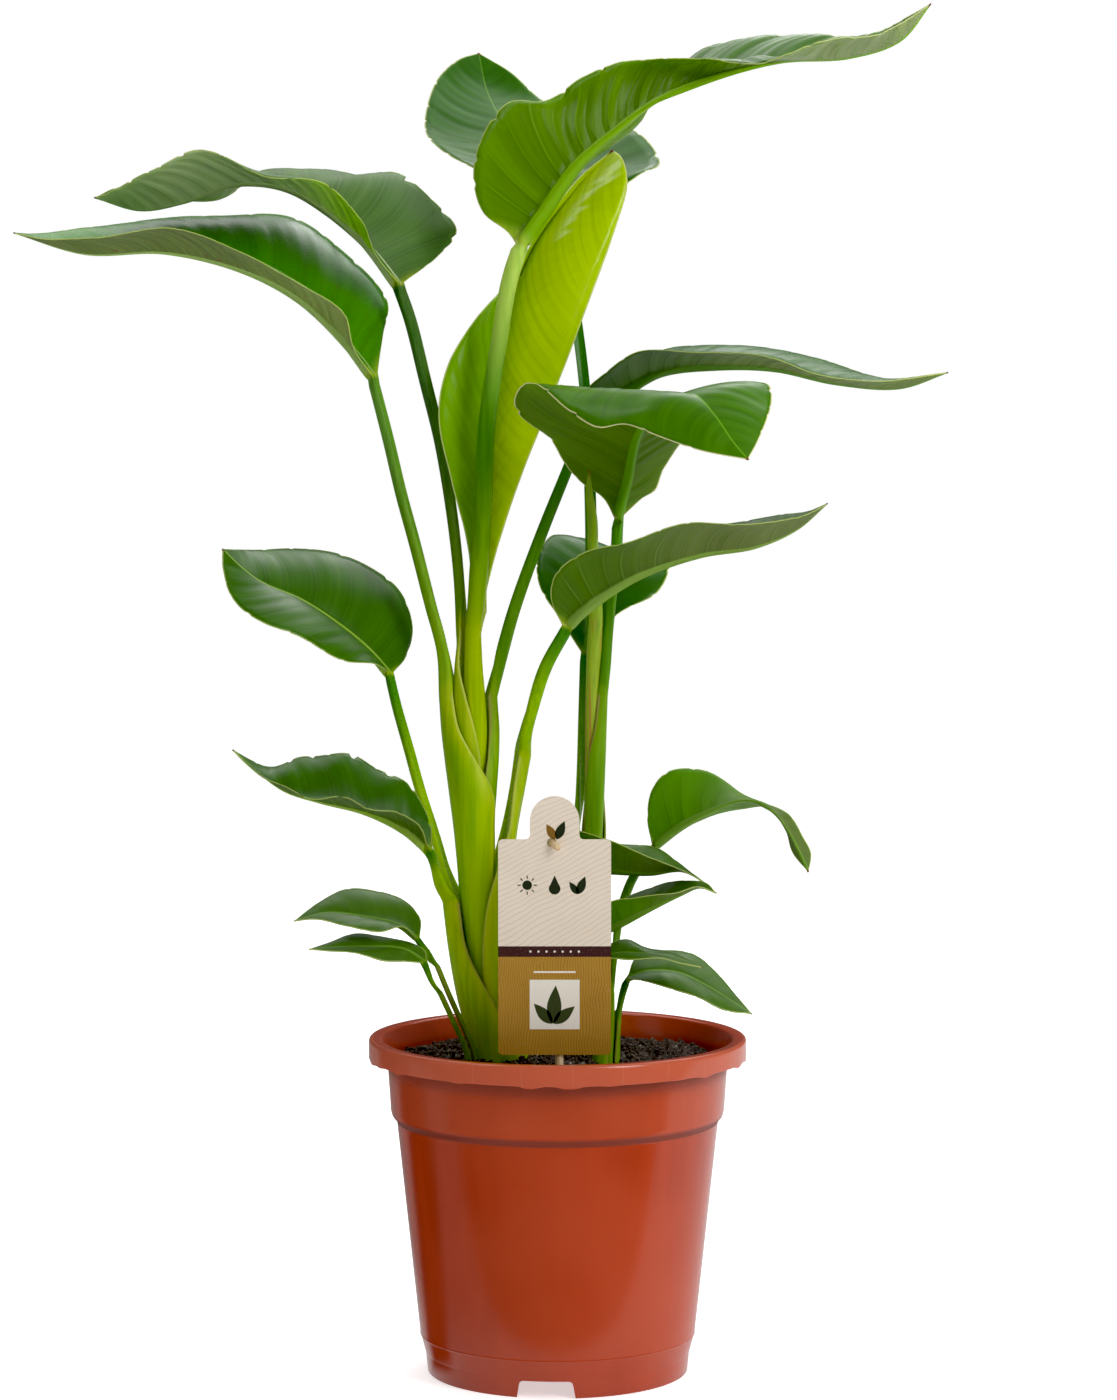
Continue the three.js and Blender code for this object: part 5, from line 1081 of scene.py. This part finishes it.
def paddle(x, z, long, wide, lean):
    """Outline of a pointed leaf whose foot is at x, z."""
    t = np.linspace(0, 1, 22)
    half = wide / 2 * np.sin(math.pi * t**0.8)
    spine = np.concatenate([t, t[-2:0:-1]]) * long
    side = np.concatenate([half, -half[-2:0:-1]])
    c, s = math.cos(math.radians(lean)), math.sin(math.radians(lean))
    return [(x + p * c + q * s, z + q * c - p * s) for p, q in zip(side, spine)]


def round_mark(x, z, radius, count=28):
    turns = [math.tau * k / count for k in range(count)]
    return [(x + radius * math.sin(a), z + radius * math.cos(a)) for a in turns]


def drop_mark(x, z, radius):
    turns = [math.radians(50 + 260 * k / 24) for k in range(25)]
    return [(x + radius * math.sin(a), z + radius * math.cos(a)) for a in turns] + [(x, z + 2.3 * radius)]


def bar_mark(x, z, wide, tall):
    w, h = wide / 2, tall / 2
    return [(x - w, z - h), (x + w, z - h), (x + w, z + h), (x - w, z + h)]


def printed(name, ink, outlines, proud=INK):
    """Flat printed marks, as a film of ink on the face of the card."""
    points, faces = [], []
    for outline in outlines:
        start, n = len(points), len(outline)
        for y in (LABEL_FACE - proud, LABEL_FACE - proud + INK_SUNK):
            points += [(LABEL_MIDDLE + x, y, z) for x, z in outline]
        area = sum(x0 * z1 - x1 * z0 for (x0, z0), (x1, z1) in zip(outline, outline[1:] + outline[:1]))
        near = list(range(start, start + n))[::1 if area >= 0 else -1]
        far = [i + n for i in near]
        faces += [tuple(near), tuple(far[::-1])]
        faces += [(near[i], far[i], far[(i + 1) % n], near[(i + 1) % n]) for i in range(n)]
    kind, *tones = ink
    mixed, tree, shader = finish(kind, Specular_IOR_Level=0.3, Roughness=0.5)
    tone = noise(own_place(tree), 1300.0)
    dress(shader, blend(tone, *tones))
    return belongs(link(name, points, faces, mixed, smooth=False), "label")


sun = [round_mark(*SUN, 3.0)]
for k in range(8):
    c, s = math.cos(math.tau * k / 8), math.sin(math.tau * k / 8)
    sun.append([(SUN[0] + p * c + q * s, SUN[1] + q * c - p * s)
                for p, q in ((0.35, 4.0), (-0.35, 4.0), (-0.35, 6.0), (0.35, 6.0))])
signs = sun + [drop_mark(0, 315.8, 3.6), paddle(14.5, SIGNS, 12, 5.4, 22), paddle(14.5, SIGNS, 9.5, 4.2, -35)]
signs += [paddle(1.2, TAB_MARK, 12.5, 5.6, 24)]
printed("label_print_dark", ("dark green ink", "27301c", "2e3822"), signs)
printed("label_print_brown", ("ochre ink", "7c5a1e", "8a6526"), [paddle(0.4, TAB_MARK, 11, 5.2, -30)])
blocks = [round_mark(x, 276.6, 0.7, 16) for x in range(-15, 16, 5)]
blocks += [bar_mark(0, 263.8, 26, 1.1), bar_mark(0, 243.5, 31, 31)]
printed("label_print_cream", ("cream ink", "e9e2d2", "f1ecdf"), blocks)
printed("label_print_leaf", ("green ink", "3a4424", "444f2b"),
        [paddle(x, 231.5, *size) for x, *size in ((-1, 24, 9, 4), (-1.5, 17, 7, -42), (-0.5, 17, 7, 50))],
        THICK_INK)

# Label stick. A round wooden stick behind the card, pushed into the peat. Its whittled tip bends forward
# through the eye of the card and holds it up.
stick_y = LABEL_FACE + LABEL_THICK + 2.85
STICK = [(1, stick_y, 148), (1, stick_y, 215), (-2.4, stick_y, 320), (-3.3, stick_y, 336),
         (-3.6, stick_y - 0.6, 341.8), (-3.6, LABEL_FACE + 2.2, 344.4), (-3.6, LABEL_FACE - 0.4, 344.4),
         (-2.2, LABEL_FACE - 3, 343.6), (0.4, LABEL_FACE - 6, 341.4)]
STICK_RADII = [2.5, 2.5, 2.5, 2.5, 2.3, 2.1, 2.1, 2.1, 1.8]
wood, tree, shader = finish("pale wood", Specular_IOR_Level=0.35)
place = own_place(tree)
fibre = noise(stretched(place, (1400, 1400, 30)), 1.0, 4.0)
knots = noise(place, 70.0, 2.0)
base = blend(between(fibre, 0.35, 0.7), "cfae7f", "e6cfa8")
base = blend(between(knots, 0.6, 0.75, 0, 0.4), base, "a98657")
dress(shader, base, between(fibre, 0.2, 0.8, 0.55, 0.75), fibre, 0.00015)
belongs(link("label_stick_whittled", *rod(STICK, STICK_RADII, 28), wood), "stick", "label_stick")
